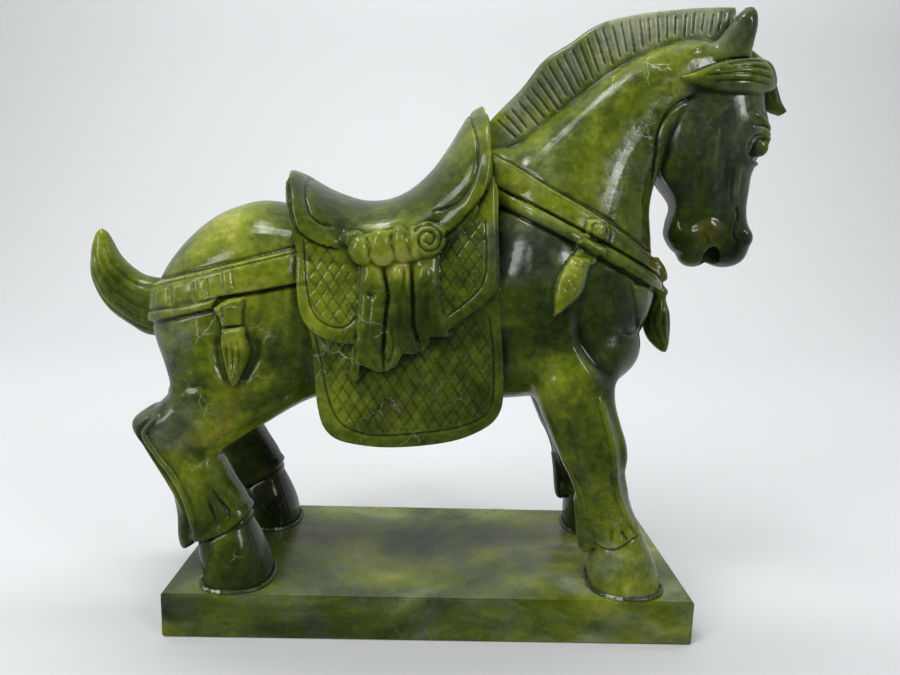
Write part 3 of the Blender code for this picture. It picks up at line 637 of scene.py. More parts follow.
def cloth(outline, rise, edge=1.0, back=-30.0, k=0.5, spline=True):
    """A cloth over the form; rise is a number or a height map function of x, z."""
    p = smooth(list(outline) + [outline[0]])[:-1, :2] if spline else np.array(outline, float)
    wx, wz, d = inside(p, 6)
    wy = window([0, -60, 30], [0, back, 30])[1]
    r = rise(XX[wx], ZZ[:, wz]) if callable(rise) else rise
    form = F[wx, wy, wz] - (r[:, None, :] if callable(rise) else r)
    e = d[:, None, :] + 0 * form
    h = np.maximum(edge * 2 - np.abs(form - e), 0)
    a = np.maximum(form, e) + h * h / (edge * 8)
    a = np.maximum(a, YS[wy][None, :, None].astype(np.float32) - back)
    add((wx, wy, wz), a, k)
    return wx, wz, d


add(*level(loft(SADDLE)), 0.8)
BL = [(-60.5, 186), (-61.5, 160), (-57.2, 143.9), (-55.2, 121.8), (-54.1, 111.7), (-51.4, 102.6), (-45.4, 96.8), (-34.4, 94.2),
      (-21.1, 93.4), (-4.6, 94.7), (11.9, 97.9), (24.5, 103.7), (30.5, 110.3), (32.2, 119.4), (31.4, 136.1), (29.8, 152.4),
      (28.4, 172), (27.0, 198), (26.0, 216), (18, 218), (4, 205), (-25, 200)]
blanket = cloth(BL, 0.0, 0.9, back=-33)
BI = [(-56, 150), (-53.5, 140.0), (-51.4, 128.5), (-48.1, 114.1), (-43.2, 105.2), (-34.4, 100.7), (-23.4, 99.6),
      (-8.0, 101.0), (9.5, 103.9), (20.4, 108.0), (26.2, 113.9), (27.3, 124.8), (26.3, 141.4), (24.2, 156)]
bi = inside(smooth(BI)[:, :2], 3)
hatch(bi, 0.9, 5.7, 8.9, (0.5, 2))
stroke(BI, 0.85, 0.8, y1=-30)

FL = [(-60.5, 193), (-63.3, 188.3), (-63.9, 175.8), (-63.0, 161.0), (-60.4, 152.5), (-54.9, 146.6), (-47, 143.6),
      (-38.1, 142.6), (-28, 146), (-28, 196), (-45, 199)]
FR = [(12, 216), (21.0, 227), (24.4, 222), (25.4, 206), (26.2, 190), (27.0, 174), (26.2, 167.4), (18.6, 160.3), (10.2, 153.7),
      (2.0, 148.8), (-14, 150), (-14, 200)]
cloth(FL, 1.9, 0.9, back=-24)
cloth(FR, 1.9, 0.9, back=-24)
FLI = [(-60.2, 189), (-59.8, 178.0), (-58.5, 166.4), (-55.4, 156.2), (-48.5, 150.9), (-41.0, 150.6), (-35.5, 155.8),
       (-33.5, 166), (-37, 174), (-43.2, 181.0), (-49.5, 187.6), (-56, 189.5)]
hatch(inside(smooth(FLI)[:, :2], 3), 0.6, 5.6, 8.4, (1.0, 0))
stroke(FLI[:7], 0.85, 0.85, y1=-24)
FRI = [(2, 156), (4.8, 156.5), (10.0, 160.4), (17.3, 166.9), (21.3, 173.8), (21.8, 184.4), (20.9, 199.0), (17.5, 203.8), (12, 200),
       (5, 192), (-1.2, 184.8), (-3, 170)]
hatch(inside(smooth(FRI)[:, :2], 3), 0.5, 5.6, 8.4, (0.2, 3))
stroke(FRI[1:7], 0.85, 0.85, y1=-20)

# gathered drape below the roll
E0 = [(124, -41), (136, -38.5), (146, -37.2), (162, -35.8), (177, -35.4), (190, -36)]
E1 = [(124, -23), (139.8, -23.8), (157, -22.7), (165.5, -21.8), (176, -24), (190, -25)]
E2 = [(124, -5), (142.4, -7.2), (152, -10.2), (162.7, -10.7), (177.4, -11.5), (190, -12)]
E3 = [(124, 9), (147, 6.4), (152.4, 5.2), (158.8, 3.0), (173.5, 1.2), (190, 0.5)]


def drape_rise(x, z):
    out = np.zeros(np.broadcast(x, z).shape, np.float32)
    zz = z[0]
    for lo, hi, top in ((E0, E1, 4.4), (E1, E2, 4.0), (E2, E3, 3.6)):
        a, b = lerp(lo, zz)[None, :], lerp(hi, zz)[None, :]
        t = (x - (a + b) / 2) / ((b - a) / 2)
        f = np.clip(1 - np.abs(t) ** 2.3, 0, 1) ** 0.72
        out = np.maximum(out, np.where(np.abs(t) <= 1, top * f, 0))
    return 1.4 + out * (0.86 + 0.14 * np.sin(z * 0.16 + x * 0.1))


DR = [(-36.2, 186), (-35.4, 176.7), (-35.8, 162.0), (-37.2, 146.0), (-39.2, 136.2), (-39.0, 127.4), (-37, 125.4), (-34.4, 126.6),
      (-34.2, 133.6), (-29.9, 131.9), (-25.8, 130.2), (-22.4, 130.3), (-17.6, 133.3), (-14.8, 139.3), (-10.8, 138.8), (-5.9, 139.9),
      (-2.8, 144.3), (-2.4, 146.9), (6.4, 147.2), (5.6, 152.4), (3.3, 158.8), (1.5, 173.5), (1.0, 186)]
cloth(DR, drape_rise, 1.0, back=-30, k=0.3, spline=False)
stroke([(-24.6, 178), (-21.8, 165.5), (-22.7, 157.0), (-23.8, 137)], 0.9, 0.8, y1=-44, taper=4, dark=0.85)
stroke([(-12.0, 179), (-10.7, 162.7), (-10.2, 152.0), (-6.6, 142.4)], 0.95, 0.9, y1=-44, taper=4, dark=0.85)
stroke([(-29.2, 176), (-30.0, 160), (-31.6, 140)], 2.4, 0.8, y1=-44, taper=8, blur=True)
stroke([(-17.5, 168), (-16.4, 154), (-17.2, 140)], 2.6, 0.8, y1=-44, taper=8, blur=True)
stroke([(-20.4, 152), (-19.0, 142), (-21.6, 133)], 1.1, 0.8, y1=-44, taper=3, dark=0.7)
stroke([(-35.5, 150), (-36.6, 138), (-35.6, 129)], 1.2, 0.9, y1=-44, taper=3, dark=0.7)
stroke([(-4.4, 172), (-4.0, 158), (-2.4, 148.6)], 2.2, 0.8, y1=-44, taper=6, blur=True)
stroke([(-16.0, 179), (-14.7, 174), (-15.4, 166)], 1.5, 0.9, y1=-44, taper=3, blur=True, dark=0.4)
bump((-31.0, 171.0), (4.0, 6.0), 1.0, y1=-44)
bump((-6.0, 175.0), (4.0, 5.0), 1.0, y1=-44)
bump((-18.0, 175.5), (3.4, 4.5), 1.0, y1=-44)
stroke([(-31.6, 167.5), (-29.2, 164.6), (-26.6, 166.6)], 1.1, 0.8, y1=-44, taper=2, dark=0.5)

# rolled bundle with its coiled end
add(*ball((-19.5, -46.5, 187.0), (21.5, 4.6, 7.6), 0.08), 0.5)
for c, r, t in (((-36.6, -47.0, 189.5), (4.4, 4.2, 4.6), 0.6), ((-34.4, -48.3, 185.0), (5.6, 5.6, 6.6), 0.35),
                ((-25.2, -48.6, 186.6), (6.6, 5.6, 8.4), 0.2), ((-16.6, -48.2, 188.4), (4.6, 5.4, 8.2), 0.15),
                ((-10.4, -47.8, 189.0), (3.4, 5.2, 7.6), 0.15), ((-4.6, -47.8, 190.7), (8.0, 5.6, 7.9), 0.0)):
    add(*ball(c, r, t), 0.7)
sp = []
for k in range(72):
    an = 2.6 - k / 71 * 2 * math.pi * 1.8
    rr = 6.9 - 5.4 * k / 71
    sp.append((-4.4 + rr * math.cos(an), 190.7 + rr * math.sin(an)))
stroke(sp, 0.95, 1.2, y1=-45, spline=False, dark=0.9)
for p in ([(-32.6, 192.5), (-30.4, 186), (-31.2, 180.6)], [(-28.2, 193.5), (-29.4, 187), (-28.0, 182)], [(-20.4, 194.5), (-21.0, 188.6), (-18.6, 184.2)],
          [(-14.0, 194.3), (-14.6, 189.4), (-12.6, 185)]):
    stroke(p, 0.9, 0.6, y1=-45, taper=3, dark=0.5)

# saddle rims
lip([(-71.5, 222), (-69.8, 216), (-67.6, 210.2), (-65.6, 200.8), (-62.8, 193.7), (-57.2, 189.2), (-50.8, 186.6),
     (-43.0, 185.6)], [(-40, 200), (-46, 225)], 1.7, 6.0)
lip([(22.4, 250), (22.4, 244), (23.2, 233.4), (23.8, 223.1), (22.1, 215.8), (18.4, 209.4), (12.2, 201.9), (6.0, 195.4),
     (0, 190.5)], [(-6, 200), (4, 225), (10, 246)], 1.7, 6.0)
stroke([(-66.8, 226), (-64.0, 219.6), (-62.6, 213.4), (-60.5, 206.2), (-57.7, 200.0), (-53.0, 196.2), (-46, 194.6)], 0.85,
       0.9, taper=3, dark=1.0)
stroke([(13.0, 262), (14.2, 246.9), (15.8, 239.3), (17.0, 231.2), (16.1, 220.9), (13.5, 213.5), (8.9, 207.1), (3.1, 204.3),
        (-3, 203)], 0.85, 0.9, taper=3, dark=1.0)
bump((-41.0, 190.0), (3.6, 4.0), 1.4, y1=-30)

# ------------------------------------------------------------------ finish grid
def mesh_from(name, adapt=0.0):
    full = np.concatenate([D, D[:, -2::-1, :]], axis=1)
    g = vdb.FloatGrid(FAR)
    g.copyFromArray(full, ijk=I0)
    g.transform = TR
    pts, tris, quads = g.convertToPolygons(isovalue=0.0, adaptivity=adapt)
    return pts, tris, quads


def normals(pts):
    """Surface directions from the gradient of the carving grid."""
    p = pts.copy()
    flip = p[:, 1] > 0
    p[flip, 1] *= -1
    c = p / H - np.array(I0)
    i = np.clip(np.floor(c).astype(int), 1, np.array([NX, NY, NZ]) - 3)
    f = (c - i).astype(np.float32)
    out = np.zeros((len(p), 3), np.float32)

    def val(a, b, d):
        b = np.where(b > NY - 1, 2 * (NY - 1) - b, b)
        return D[a, b, d]
    for dx in (0, 1):
        for dy in (0, 1):
            for dz in (0, 1):
                w = (np.where(dx, f[:, 0], 1 - f[:, 0]) * np.where(dy, f[:, 1], 1 - f[:, 1])
                     * np.where(dz, f[:, 2], 1 - f[:, 2]))
                a, b, d = i[:, 0] + dx, i[:, 1] + dy, i[:, 2] + dz
                out[:, 0] += w * (val(a + 1, b, d) - val(a - 1, b, d))
                out[:, 1] += w * (val(a, b + 1, d) - val(a, b - 1, d))
                out[:, 2] += w * (val(a, b, d + 1) - val(a, b, d - 1))
    out[flip, 1] *= -1
    out /= np.maximum(np.linalg.norm(out, axis=1, keepdims=True), 1e-9)
    return out


def sample(a, pts):
    """Values of a grid at points, mirrored to the near half."""
    c = pts / H - np.array(I0)
    c[:, 1] = np.where(pts[:, 1] > 0, -pts[:, 1], pts[:, 1]) / H - I0[1]
    i = np.clip(np.floor(c).astype(int), 0, np.array([NX, NY, NZ]) - 2)
    f = np.clip(c - i, 0, 1).astype(np.float32)
    out = np.zeros(len(pts), np.float32)
    for dx in (0, 1):
        for dy in (0, 1):
            for dz in (0, 1):
                w = (np.where(dx, f[:, 0], 1 - f[:, 0]) * np.where(dy, f[:, 1], 1 - f[:, 1])
                     * np.where(dz, f[:, 2], 1 - f[:, 2]))
                out += w * a[i[:, 0] + dx, i[:, 1] + dy, i[:, 2] + dz]
    return out


def box_blur(a, r):
    """Running mean over 2r + 1 cells along each axis."""
    for ax in range(3):
        pad = [(0, 0)] * 3
        pad[ax] = (r + 1, r)
        c = np.cumsum(np.pad(a, pad, mode="edge"), axis=ax, dtype=np.float32)
        n = a.shape[ax]
        hi = [slice(None)] * 3
        lo = [slice(None)] * 3
        hi[ax], lo[ax] = slice(2 * r + 1, 2 * r + 1 + n), slice(0, n)
        a = (c[tuple(hi)] - c[tuple(lo)]) / (2 * r + 1)
    return a


pts, tris, quads = mesh_from("horse")
print("mesh", len(pts), len(tris), len(quads))
me = bpy.data.meshes.new("horse_carving")
nq = len(quads)
me.vertices.add(len(pts))
me.vertices.foreach_set("co", (pts * 0.001).astype(np.float32).ravel())
me.loops.add(nq * 4)
me.loops.foreach_set("vertex_index", quads.astype(np.int32).ravel())
me.polygons.add(nq)
me.polygons.foreach_set("loop_start", np.arange(nq, dtype=np.int32) * 4)
me.update(calc_edges=True)
me.polygons.foreach_set("use_smooth", np.ones(nq, bool))
me.normals_split_custom_set_from_vertices(normals(pts).tolist())


def attr(name, v):
    a = me.attributes.new(name, "FLOAT", "POINT")
    a.data.foreach_set("value", np.ascontiguousarray(v, np.float32))


C = np.clip(D, -5, 5)
C = box_blur(C, 2)
edge = sample(C, pts)
C = box_blur(box_blur(C, 5), 5)
wide = sample(C, pts)
del C
# cut: painted shade along carved lines
attr("cut", np.clip(sample(GROOVE_SHADE, pts), 0, 1))
attr("edge", np.clip(edge / 0.35, -1, 1))                   # + outer edges, - inner corners: for a painted highlight on outer edges and painted shade in inner corners
attr("hollow", np.clip(-wide / 1.6, -1, 1))                 # + sunk places, for painted shade

# the stone: where the yellow-green (tone) and the grey (ash) lie, x, z, size, tone, ash
CLOUDS = [
    (-100, 188, 24, 0.75, 0.1), (-124, 182, 10, 0.6, 0.5), (-78, 192, 12, 0.6, 0.3), (-112, 163, 16, 0.72, 0.25),
    (-85, 134, 20, 0.52, 0.0), (-75, 168, 14, 0.62, 0.15), (-118, 134, 16, 0.42, 0.7), (-122, 108, 12, 0.62, 0.8),
    (-101, 101, 9, 0.88, 0.1), (-90, 112, 12, 0.6, 0.1), (-112, 74, 12, 0.62, 0.2), (-100, 64, 9, 0.42, 0.1),
    (-98, 34, 14, 0.36, 0.3), (-160, 160, 14, 0.64, 0.2), (-150, 150, 12, 0.58, 0.3), (-172, 187, 9, 0.72, 0.1),
    (-62, 208, 12, 0.30, 0.3), (-38, 203, 14, 0.30, 0.3), (-18, 200, 13, 0.34, 0.2), (6, 214, 14, 0.42, 0.05),
    (11, 233, 11, 0.68, 0.0), (19, 250, 10, 0.72, 0.0), (-20, 188, 13, 1.2, 0.05), (-30, 158, 14, 0.58, 0.0),
    (-14, 160, 9, 0.34, 0.2), (-1, 160, 9, 0.5, 0.1), (-50, 168, 14, 0.74, 0.0), (12, 180, 14, 0.50, 0.2),
    (-14, 112, 20, 0.50, 0.0), (-42, 112, 14, 0.56, 0.0), (20, 132, 14, 0.38, 0.0), (-10, 96, 10, 0.6, 0.1),
    (40, 186, 14, 0.30, 0.9), (56, 176, 12, 0.34, 0.4), (58, 128, 13, 0.70, 0.0), (50, 152, 13, 0.36, 0.1), (34, 130, 12, 0.42, 0.1),
    (67, 174, 8, 0.40, 0.2), (62, 161, 5, 0.4, 0.0), (74, 185, 5, 0.5, 0.1), (52, 148, 9, 0.14, 0.3), (84, 172, 6, 0.2, 0.2), (76, 158, 7, 0.24, 0.3), (28, 218, 12, 0.80, 0.1), (52, 206, 10, 0.64, 0.25),
    (75, 196, 9, 0.6, 0.4), (97, 182, 12, 0.56, 0.0), (86, 142, 15, 0.26, 0.6), (100, 158, 11, 0.34, 0.6),
    (48, 228, 14, 0.56, 0.5), (72, 240, 16, 0.70, 0.2), (92, 224, 12, 0.5, 0.5), (100, 205, 9, 0.5, 0.0),
    (92, 262, 16, 0.66, 0.2), (112, 276, 12, 0.75, 0.3), (40, 248, 13, 0.96, 0.75), (62, 272, 14, 0.68, 0.6),
    (95, 292, 16, 0.86, 0.9), (122, 296, 14, 0.88, 0.9), (124, 246, 14, 0.44, 0.7), (118, 226, 10, 0.34, 0.5),
    (145, 235, 14, 0.40, 0.8), (148, 212, 12, 0.34, 0.7), (134, 196, 9, 0.34, 0.2), (152, 192, 9, 0.05, 0.3),
    (132, 264, 10, 0.30, 0.5), (160, 244, 7, 0.62, 0.2), (145, 272, 12, 0.58, 0.3), (143, 294, 9, 0.34, 0.5),
    (70, 108, 10, 0.56, 0.1), (74, 96, 12, 0.60, 0.1), (84, 70, 12, 0.68, 0.2), (88, 54, 8, 0.62, 0.4),
    (96, 34, 13, 0.68, 0.5), (118, 150, 10, 0.35, 0.1)]
tw = np.full(len(pts), 0.05, np.float32)
tone, ash = tw * 0.45, tw * 0.35
for x, z, r, t, g in CLOUDS:
    w = np.exp(-((pts[:, 0] - x) ** 2 + (pts[:, 2] - z) ** 2) / (r * r)).astype(np.float32)
    tw += w
    tone += w * t
    ash += w * g


def patch(outline, value, grey, fade):
    """Lets one carved motif keep its own tone: outline in x, z."""
    wx_, wz_, d_ = inside(smooth(list(outline) + [outline[0]])[:-1, :2], 4)
    i = ((pts[:, 0] - XX[0, 0]) / (XX[1, 0] - XX[0, 0]) + 0.5).astype(int) - wx_.start
    j = ((pts[:, 2] - ZZ[0, 0]) / (ZZ[0, 1] - ZZ[0, 0]) + 0.5).astype(int) - wz_.start
    ok = (i >= 0) & (j >= 0) & (i < d_.shape[0]) & (j < d_.shape[1])
    v = np.zeros(len(pts), np.float32)
    v[ok] = np.clip(0.5 - d_[i[ok], j[ok]] / fade, 0, 1)
    tone[:] = tone * (1 - v) + value * tw * v
    ash[:] = ash * (1 - v) + grey * tw * v


patch(at(-42, [(69.0, 183.7), (63.3, 174.7), (60.2, 163.9), (60.3, 155.0), (61.0, 152.6), (67.8, 157.8), (74.6, 165.1),
               (77.6, 175.1), (79.1, 181.6)]), 0.78, 0.0, 1.6)
patch(at(-42, [(72.6, 187.4), (82.4, 184.8), (83.0, 180.6), (78.0, 178.5), (71.0, 178.9), (69.6, 183)]), 0.76, 0.0, 1.6)
# painted shade: the far side's lower parts are made darker
far_side_shade = soft(np.clip((pts[:, 1] - 2) / 18, 0, 1)) * soft(np.clip((120 - pts[:, 2]) / 40, 0, 1))
attr("tone", tone / tw - 0.30 * far_side_shade)
attr("ash", ash / tw)


def spots(table):
    """0 to 1 near any of some points: x, z, size, strength."""
    v = np.zeros(len(pts), np.float32)
    for x, z, r, k in table:
        v = np.maximum(v, k * np.exp(-((pts[:, 0] - x) ** 2 + (pts[:, 2] - z) ** 2) / (r * r)).astype(np.float32))
    return v


attr("vein", spots([(-98, 152, 14, 1.0), (-85, 138, 14, 0.9), (-108, 150, 10, 0.9), (-95, 170, 12, 0.8), (-110, 112, 10, 0.5),
                    (-30, 150, 10, 0.9), (-16, 170, 10, 0.6), (-40, 135, 12, 0.9), (-20, 100, 22, 0.5), (15, 120, 14, 0.4),
                    (105, 272, 12, 1.0), (112, 284, 8, 1.0), (82, 270, 8, 0.7), (97, 240, 10, 0.5), (64, 280, 8, 0.5),
                    (-60, 130, 10, 0.9), (-95, 34, 10, 0.6), (40, 210, 9, 0.5), (84, 60, 10, 0.4), (-112, 90, 8, 0.5)]))
attr("speck", spots([(-88, 185, 16, 1.0), (-80, 150, 14, 1.0), (-75, 130, 8, 1.0), (-10, 112, 16, 0.5), (-46, 160, 12, 0.3)]))

horse = bpy.data.objects.new("horse_carving", me)
bpy.context.scene.collection.objects.link(horse)
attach(horse, "root")
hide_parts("horse")


# ------------------------------------------------------------ materials
class Net:
    """Short names for building a node tree."""

    def __init__(self, name):
        self.m = bpy.data.materials.new(name)
        self.m.use_nodes = True
        self.t = self.m.node_tree
        self.b = self.t.nodes["Principled BSDF"]

    def put(self, node, i, v):
        if isinstance(v, bpy.types.NodeSocket):
            self.t.links.new(v, node.inputs[i])
        elif v is not None:
            node.inputs[i].default_value = v

    def node(self, kind, **kw):
        n = self.t.nodes.new("ShaderNode" + kind)
        for k, v in kw.items():
            setattr(n, k, v)
        return n

    def do(self, op, a, b=None, c=None):
        n = self.node("Math", operation=op)
        for i, v in enumerate((a, b, c)):
            self.put(n, i, v)
        return n.outputs[0]

    def fit(self, v, a, b, c=0.0, d=1.0):
        n = self.node("MapRange", interpolation_type="SMOOTHSTEP")
        for i, x in enumerate((v, a, b, c, d)):
            self.put(n, i, x)
        return n.outputs[0]

    def mix(self, f, a, b, blend="MIX"):
        n = self.node("Mix", data_type="RGBA", blend_type=blend)
        self.put(n, 0, f)
        self.put(n, 6, a)
        self.put(n, 7, b)
        return n.outputs[2]

    def ramp(self, f, stops):
        n = self.node("ValToRGB")
        e = n.color_ramp.elements
        while len(e) < len(stops):
            e.new(0.5)
        for k, (p, c) in enumerate(stops):
            e[k].position = p
            e[k].color = tuple(c) + (1,)
        self.put(n, 0, f)
        return n.outputs[0]

    def where(self, loc=(0, 0, 0), rot=(0, 0, 0), scale=(1, 1, 1)):
        n = self.node("Mapping")
        self.put(n, 0, self.node("TexCoord").outputs["Object"])
        self.put(n, 1, loc)
        self.put(n, 2, rot)
        self.put(n, 3, scale)
        return n.outputs[0]

    def noise(self, at, scale, detail=4.0, rough=0.5, bend=0.0):
        n = self.node("TexNoise")
        self.put(n, "Vector", at)
        self.put(n, "Scale", scale)
        self.put(n, "Detail", detail)
        self.put(n, "Roughness", rough)
        self.put(n, "Distortion", bend)
        return n.outputs["Fac"], n.outputs["Color"]

    def attr(self, name):
        n = self.node("Attribute", attribute_name=name)
        return n.outputs["Fac"]

    def warp(self, at, scale, amount):
        """at, pushed about by a noise of that scale."""
        n = self.node("VectorMath", operation="MULTIPLY_ADD")
        self.put(n, 0, self.noise(at, scale, 3.0)[1])
        self.put(n, 1, (amount,) * 3)
        self.put(n, 2, at)
        return n.outputs[0]

    def bump(self, h, dist, strength, below=None):
        n = self.node("Bump")
        self.put(n, "Strength", strength)
        self.put(n, "Distance", dist)
        self.put(n, "Height", h)
        if below is not None:
            self.put(n, "Normal", below)
        return n.outputs[0]


GREENS = [(0.0, (0.006, 0.011, 0.003)), (0.25, (0.017, 0.029, 0.004)), (0.42, (0.036, 0.056, 0.005)),
          (0.58, (0.072, 0.100, 0.006)), (0.74, (0.130, 0.165, 0.009)), (0.90, (0.210, 0.240, 0.018)),
          (1.0, (0.30, 0.31, 0.05))]
ASHES = [(0.0, (0.008, 0.013, 0.008)), (0.3, (0.024, 0.035, 0.018)), (0.5, (0.050, 0.068, 0.034)),
         (0.75, (0.115, 0.140, 0.075)), (1.0, (0.25, 0.28, 0.16))]


def jade(name, carved, loc=(0, 0, 0), tone=0.45, ash=0.5, swing=1.0, streak=(1, 1, 1), turn=(0, 0, 0), fine=1.0):
    k = Net(name)
    at = k.where(loc)
    big = k.noise(k.where(loc, turn, streak), 17.0, 6.0, 0.62, 0.7)[0]
    mid = k.noise(at, 62.0, 6.0, 0.62, 0.5)[0]
    small = k.noise(at, 300.0, 5.0, 0.6)[0]
    t = k.attr("tone") if carved else tone
    g = k.attr("ash") if carved else ash
    t = k.do("ADD", t, k.do("MULTIPLY", k.do("SUBTRACT", big, 0.5), 1.0 * swing))
    t = k.do("ADD", t, k.do("MULTIPLY", k.do("SUBTRACT", mid, 0.5), 0.85 * fine))
    t = k.do("ADD", t, k.do("MULTIPLY", k.do("SUBTRACT", small, 0.5), 0.44 * fine))
    if carved:
        # painted highlight on outer edges, painted shade in inner corners and sunk places
        t = k.do("ADD", t, k.do("MULTIPLY", k.attr("edge"), 0.10))
        t = k.do("SUBTRACT", t, k.do("MULTIPLY", k.fit(k.attr("hollow"), 0.05, 0.9), 0.26))
    colour = k.ramp(t, GREENS)
    gn = k.noise(k.where((loc[0] + 3.1, loc[1], loc[2])), 34.0, 5.0, 0.6, 0.9)[0]
    gf = k.fit(k.do("ADD", g, k.do("MULTIPLY", k.do("SUBTRACT", gn, 0.5), 1.7)), 0.25, 0.85)
    colour = k.mix(gf, colour, k.ramp(t, ASHES))
    # rusty stains
    st = k.noise(k.where((loc[0], loc[1] + 5.7, loc[2])), 26.0, 4.0, 0.55, 0.6)[0]
    colour = k.mix(k.fit(st, 0.62, 0.74, 0.0, 0.42), colour, (0.115, 0.072, 0.010, 1))
    # black flecks
    v = k.node("TexVoronoi", feature="F1")
    k.put(v, "Vector", k.warp(at, 240.0, 0.003))
    k.put(v, "Scale", 110.0)
    fleck = k.fit(v.outputs["Distance"], 0.10, 0.20, 1.0, 0.0)
    few = k.fit(k.noise(at, 90.0, 2.0)[0], 0.52, 0.60)
    fleck = k.do("MULTIPLY", k.do("MULTIPLY", fleck, few), k.attr("speck") if carved else 0.25)
    colour = k.mix(fleck, colour, (0.010, 0.012, 0.008, 1))
    # pale crazing
    w = k.node("TexVoronoi", feature="DISTANCE_TO_EDGE")
    k.put(w, "Vector", k.warp(k.warp(at, 60.0, 0.012), 380.0, 0.0022))
    k.put(w, "Scale", 78.0)
    line = k.fit(w.outputs["Distance"], 0.004, 0.022, 1.0, 0.0)
    some = k.fit(k.noise(at, 70.0, 3.0, 0.6)[0], 0.47, 0.60)
    vein = k.do("MULTIPLY", k.do("MULTIPLY", line, some), k.attr("vein") if carved else 0.10)
    colour = k.mix(k.do("MULTIPLY", vein, 0.75), colour, (0.42, 0.43, 0.32, 1))
    if carved:
        cut = k.attr("cut")
        # painted shade in inner corners and along carved lines
        corner_shade = k.fit(k.attr("edge"), -0.25, -1.0)
        colour = k.mix(k.do("MULTIPLY", corner_shade, 0.34), colour, (0.010, 0.017, 0.005, 1))
        colour = k.mix(k.do("MULTIPLY", k.fit(cut, 0.26, 0.9), 0.76), colour, (0.007, 0.012, 0.004, 1))
    k.put(k.b, "Base Color", colour)
    r = k.fit(k.noise(at, 150.0, 5.0, 0.65)[0], 0.35, 0.70, 0.12 if carved else 0.22, 0.28 if carved else 0.30)
    if carved:
        r = k.do("ADD", r, k.do("MULTIPLY", k.fit(cut, 0.3, 0.9), 0.12))
    r = k.do("ADD", r, k.do("MULTIPLY", vein, 0.25))
    k.put(k.b, "Roughness", r)
    nb = k.bump(k.noise(at, 75.0, 3.0, 0.5)[0], 0.0007 if carved else 0.00015, 0.45)
    nb = k.bump(k.noise(at, 520.0, 4.0, 0.6)[0], 0.00012, 0.35, nb)
    nb = k.bump(k.do("MULTIPLY", vein, -1.0), 0.00015, 0.6, nb)
    k.put(k.b, "Normal", nb)
    k.b.inputs["IOR"].default_value = 1.49
    k.b.inputs["Subsurface Weight"].default_value = 0.10
    k.b.inputs["Subsurface Radius"].default_value = (0.6, 1.0, 0.2)
    k.b.inputs["Subsurface Scale"].default_value = 0.003
    k.b.inputs["Coat Weight"].default_value = 0.08
    k.b.inputs["Coat Roughness"].default_value = 0.08
    return k.m


me.materials.append(jade("green_jade_carved", True))
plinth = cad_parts["plinth"]
slab = jade("dark_jade_slab", False, (1.3, 2.2, 0.7), 0.70, 0.46, 1.9, (0.62, 0.9, 1.3), (0.2, 0.4, 0.35), 0.5)
for sl in plinth.material_slots:
    sl.material = slab


def glue(name):
    k = Net(name)
    at = k.where()
    n1 = k.noise(at, 420.0, 4.0, 0.6)[0]
    n2 = k.noise(at, 110.0, 3.0, 0.5)[0]
    f = k.fit(k.do("ADD", n1, k.do("MULTIPLY", n2, 0.9)), 1.02, 1.14)
    k.put(k.b, "Base Color", k.mix(f, (0.030, 0.044, 0.014, 1), (0.34, 0.36, 0.27, 1)))
    k.put(k.b, "Roughness", k.fit(n1, 0.3, 0.7, 0.12, 0.4))
    k.put(k.b, "Normal", k.bump(n1, 0.0006, 0.7))
    k.b.inputs["IOR"].default_value = 1.48
    return k.m


gm = glue("clear_adhesive")
for n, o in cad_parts.items():
    if n.startswith("bead"):
        for sl in o.material_slots:
            sl.material = gm

# ------------------------------------------------------------ floor, light
bm = bmesh.new()
prof = [(-3.0, 0.0), (0.75, 0.0)]
for k in range(1, 17):
    an = k / 16 * math.pi / 2
    prof.append((0.75 + 0.7 * math.sin(an), 0.7 - 0.7 * math.cos(an)))
prof.append((1.45, 3.2))
rows = [[bm.verts.new((x, y, z)) for x in (-3.5, 3.5)] for y, z in prof]
for a_, b_ in zip(rows, rows[1:]):
    bm.faces.new((a_[0], a_[1], b_[1], b_[0]))
fl = bpy.data.meshes.new("backdrop")
bm.to_mesh(fl)
bm.free()
fl.polygons.foreach_set("use_smooth", np.ones(len(fl.polygons), bool))
floor = bpy.data.objects.new("backdrop", fl)
bpy.context.scene.collection.objects.link(floor)
k = Net("paper")
pn = k.noise(k.where(), 900.0, 3.0)[0]
k.put(k.b, "Base Color", k.mix(pn, (0.515, 0.525, 0.533, 1), (0.54, 0.55, 0.556, 1)))
k.put(k.b, "Roughness", k.fit(pn, 0.3, 0.7, 0.80, 0.9))
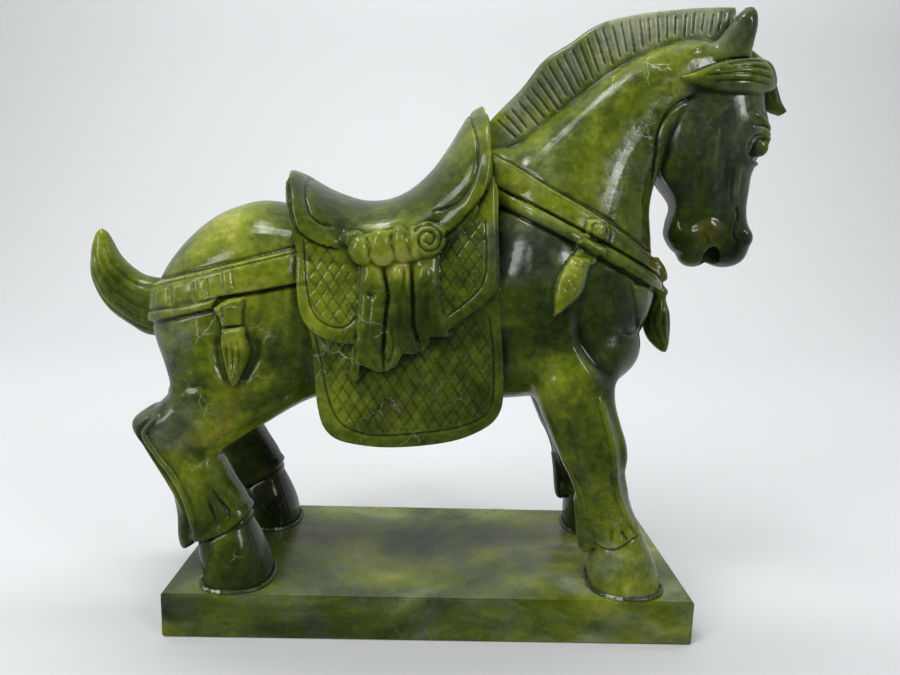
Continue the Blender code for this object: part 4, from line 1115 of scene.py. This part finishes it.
k.b.inputs["Specular IOR Level"].default_value = 0.2
fl.materials.append(k.m)
floor.visible_glossy = False


def area(name, loc, target, size, power, colour=(1, 1, 1)):
    l = bpy.data.lights.new(name, "AREA")
    l.shape = "RECTANGLE"
    l.size, l.size_y = size
    l.energy = power
    l.color = colour
    o = bpy.data.objects.new(name, l)
    bpy.context.scene.collection.objects.link(o)
    o.location = loc
    d = np.array(loc) - np.array(target)
    from mathutils import Vector
    o.rotation_euler = Vector(d).to_track_quat("Z", "Y").to_euler()
    return o


area("top", (-0.24, -0.48, 1.25), (0, 0.0, 0.1), (0.8, 0.6), 9.0).visible_glossy = False
area("ceiling", (-0.35, -0.25, 1.6), (0, 0, 0.15), (0.36, 0.26), 3.6)
area("left", (-1.05, -0.95, 0.92), (0, 0, 0.17), (0.36, 1.0), 7.0)
area("right", (0.95, -1.0, 0.95), (0.05, 0, 0.18), (0.24, 0.56), 5.4)
area("back", (0.0, 0.45, 2.0), (0, 1.45, 1.05), (2.4, 0.6), 52).visible_glossy = False
world = bpy.data.worlds.new("world")
bpy.context.scene.world = world
bpy.context.scene.view_settings.view_transform = "Standard"
world.use_nodes = True
wt = world.node_tree
wn = wt.nodes.new("ShaderNodeTexCoord")
sp_ = wt.nodes.new("ShaderNodeSeparateXYZ")
wt.links.new(wn.outputs["Generated"], sp_.inputs[0])
mr = wt.nodes.new("ShaderNodeMapRange")
mr.interpolation_type = "SMOOTHSTEP"
for i_, v_ in ((1, -0.75), (2, 0.35), (3, 0.0), (4, 1.0)):
    mr.inputs[i_].default_value = v_
wt.links.new(sp_.outputs["Y"], mr.inputs[0])
wm = wt.nodes.new("ShaderNodeMix")
wm.data_type = "RGBA"
wt.links.new(mr.outputs[0], wm.inputs[0])
wm.inputs[6].default_value = (0.07, 0.075, 0.08, 1)
wm.inputs[7].default_value = (0.86, 0.88, 0.91, 1)
wt.links.new(wm.outputs[2], wt.nodes["Background"].inputs["Color"])
wt.nodes["Background"].inputs["Strength"].default_value = 0.56
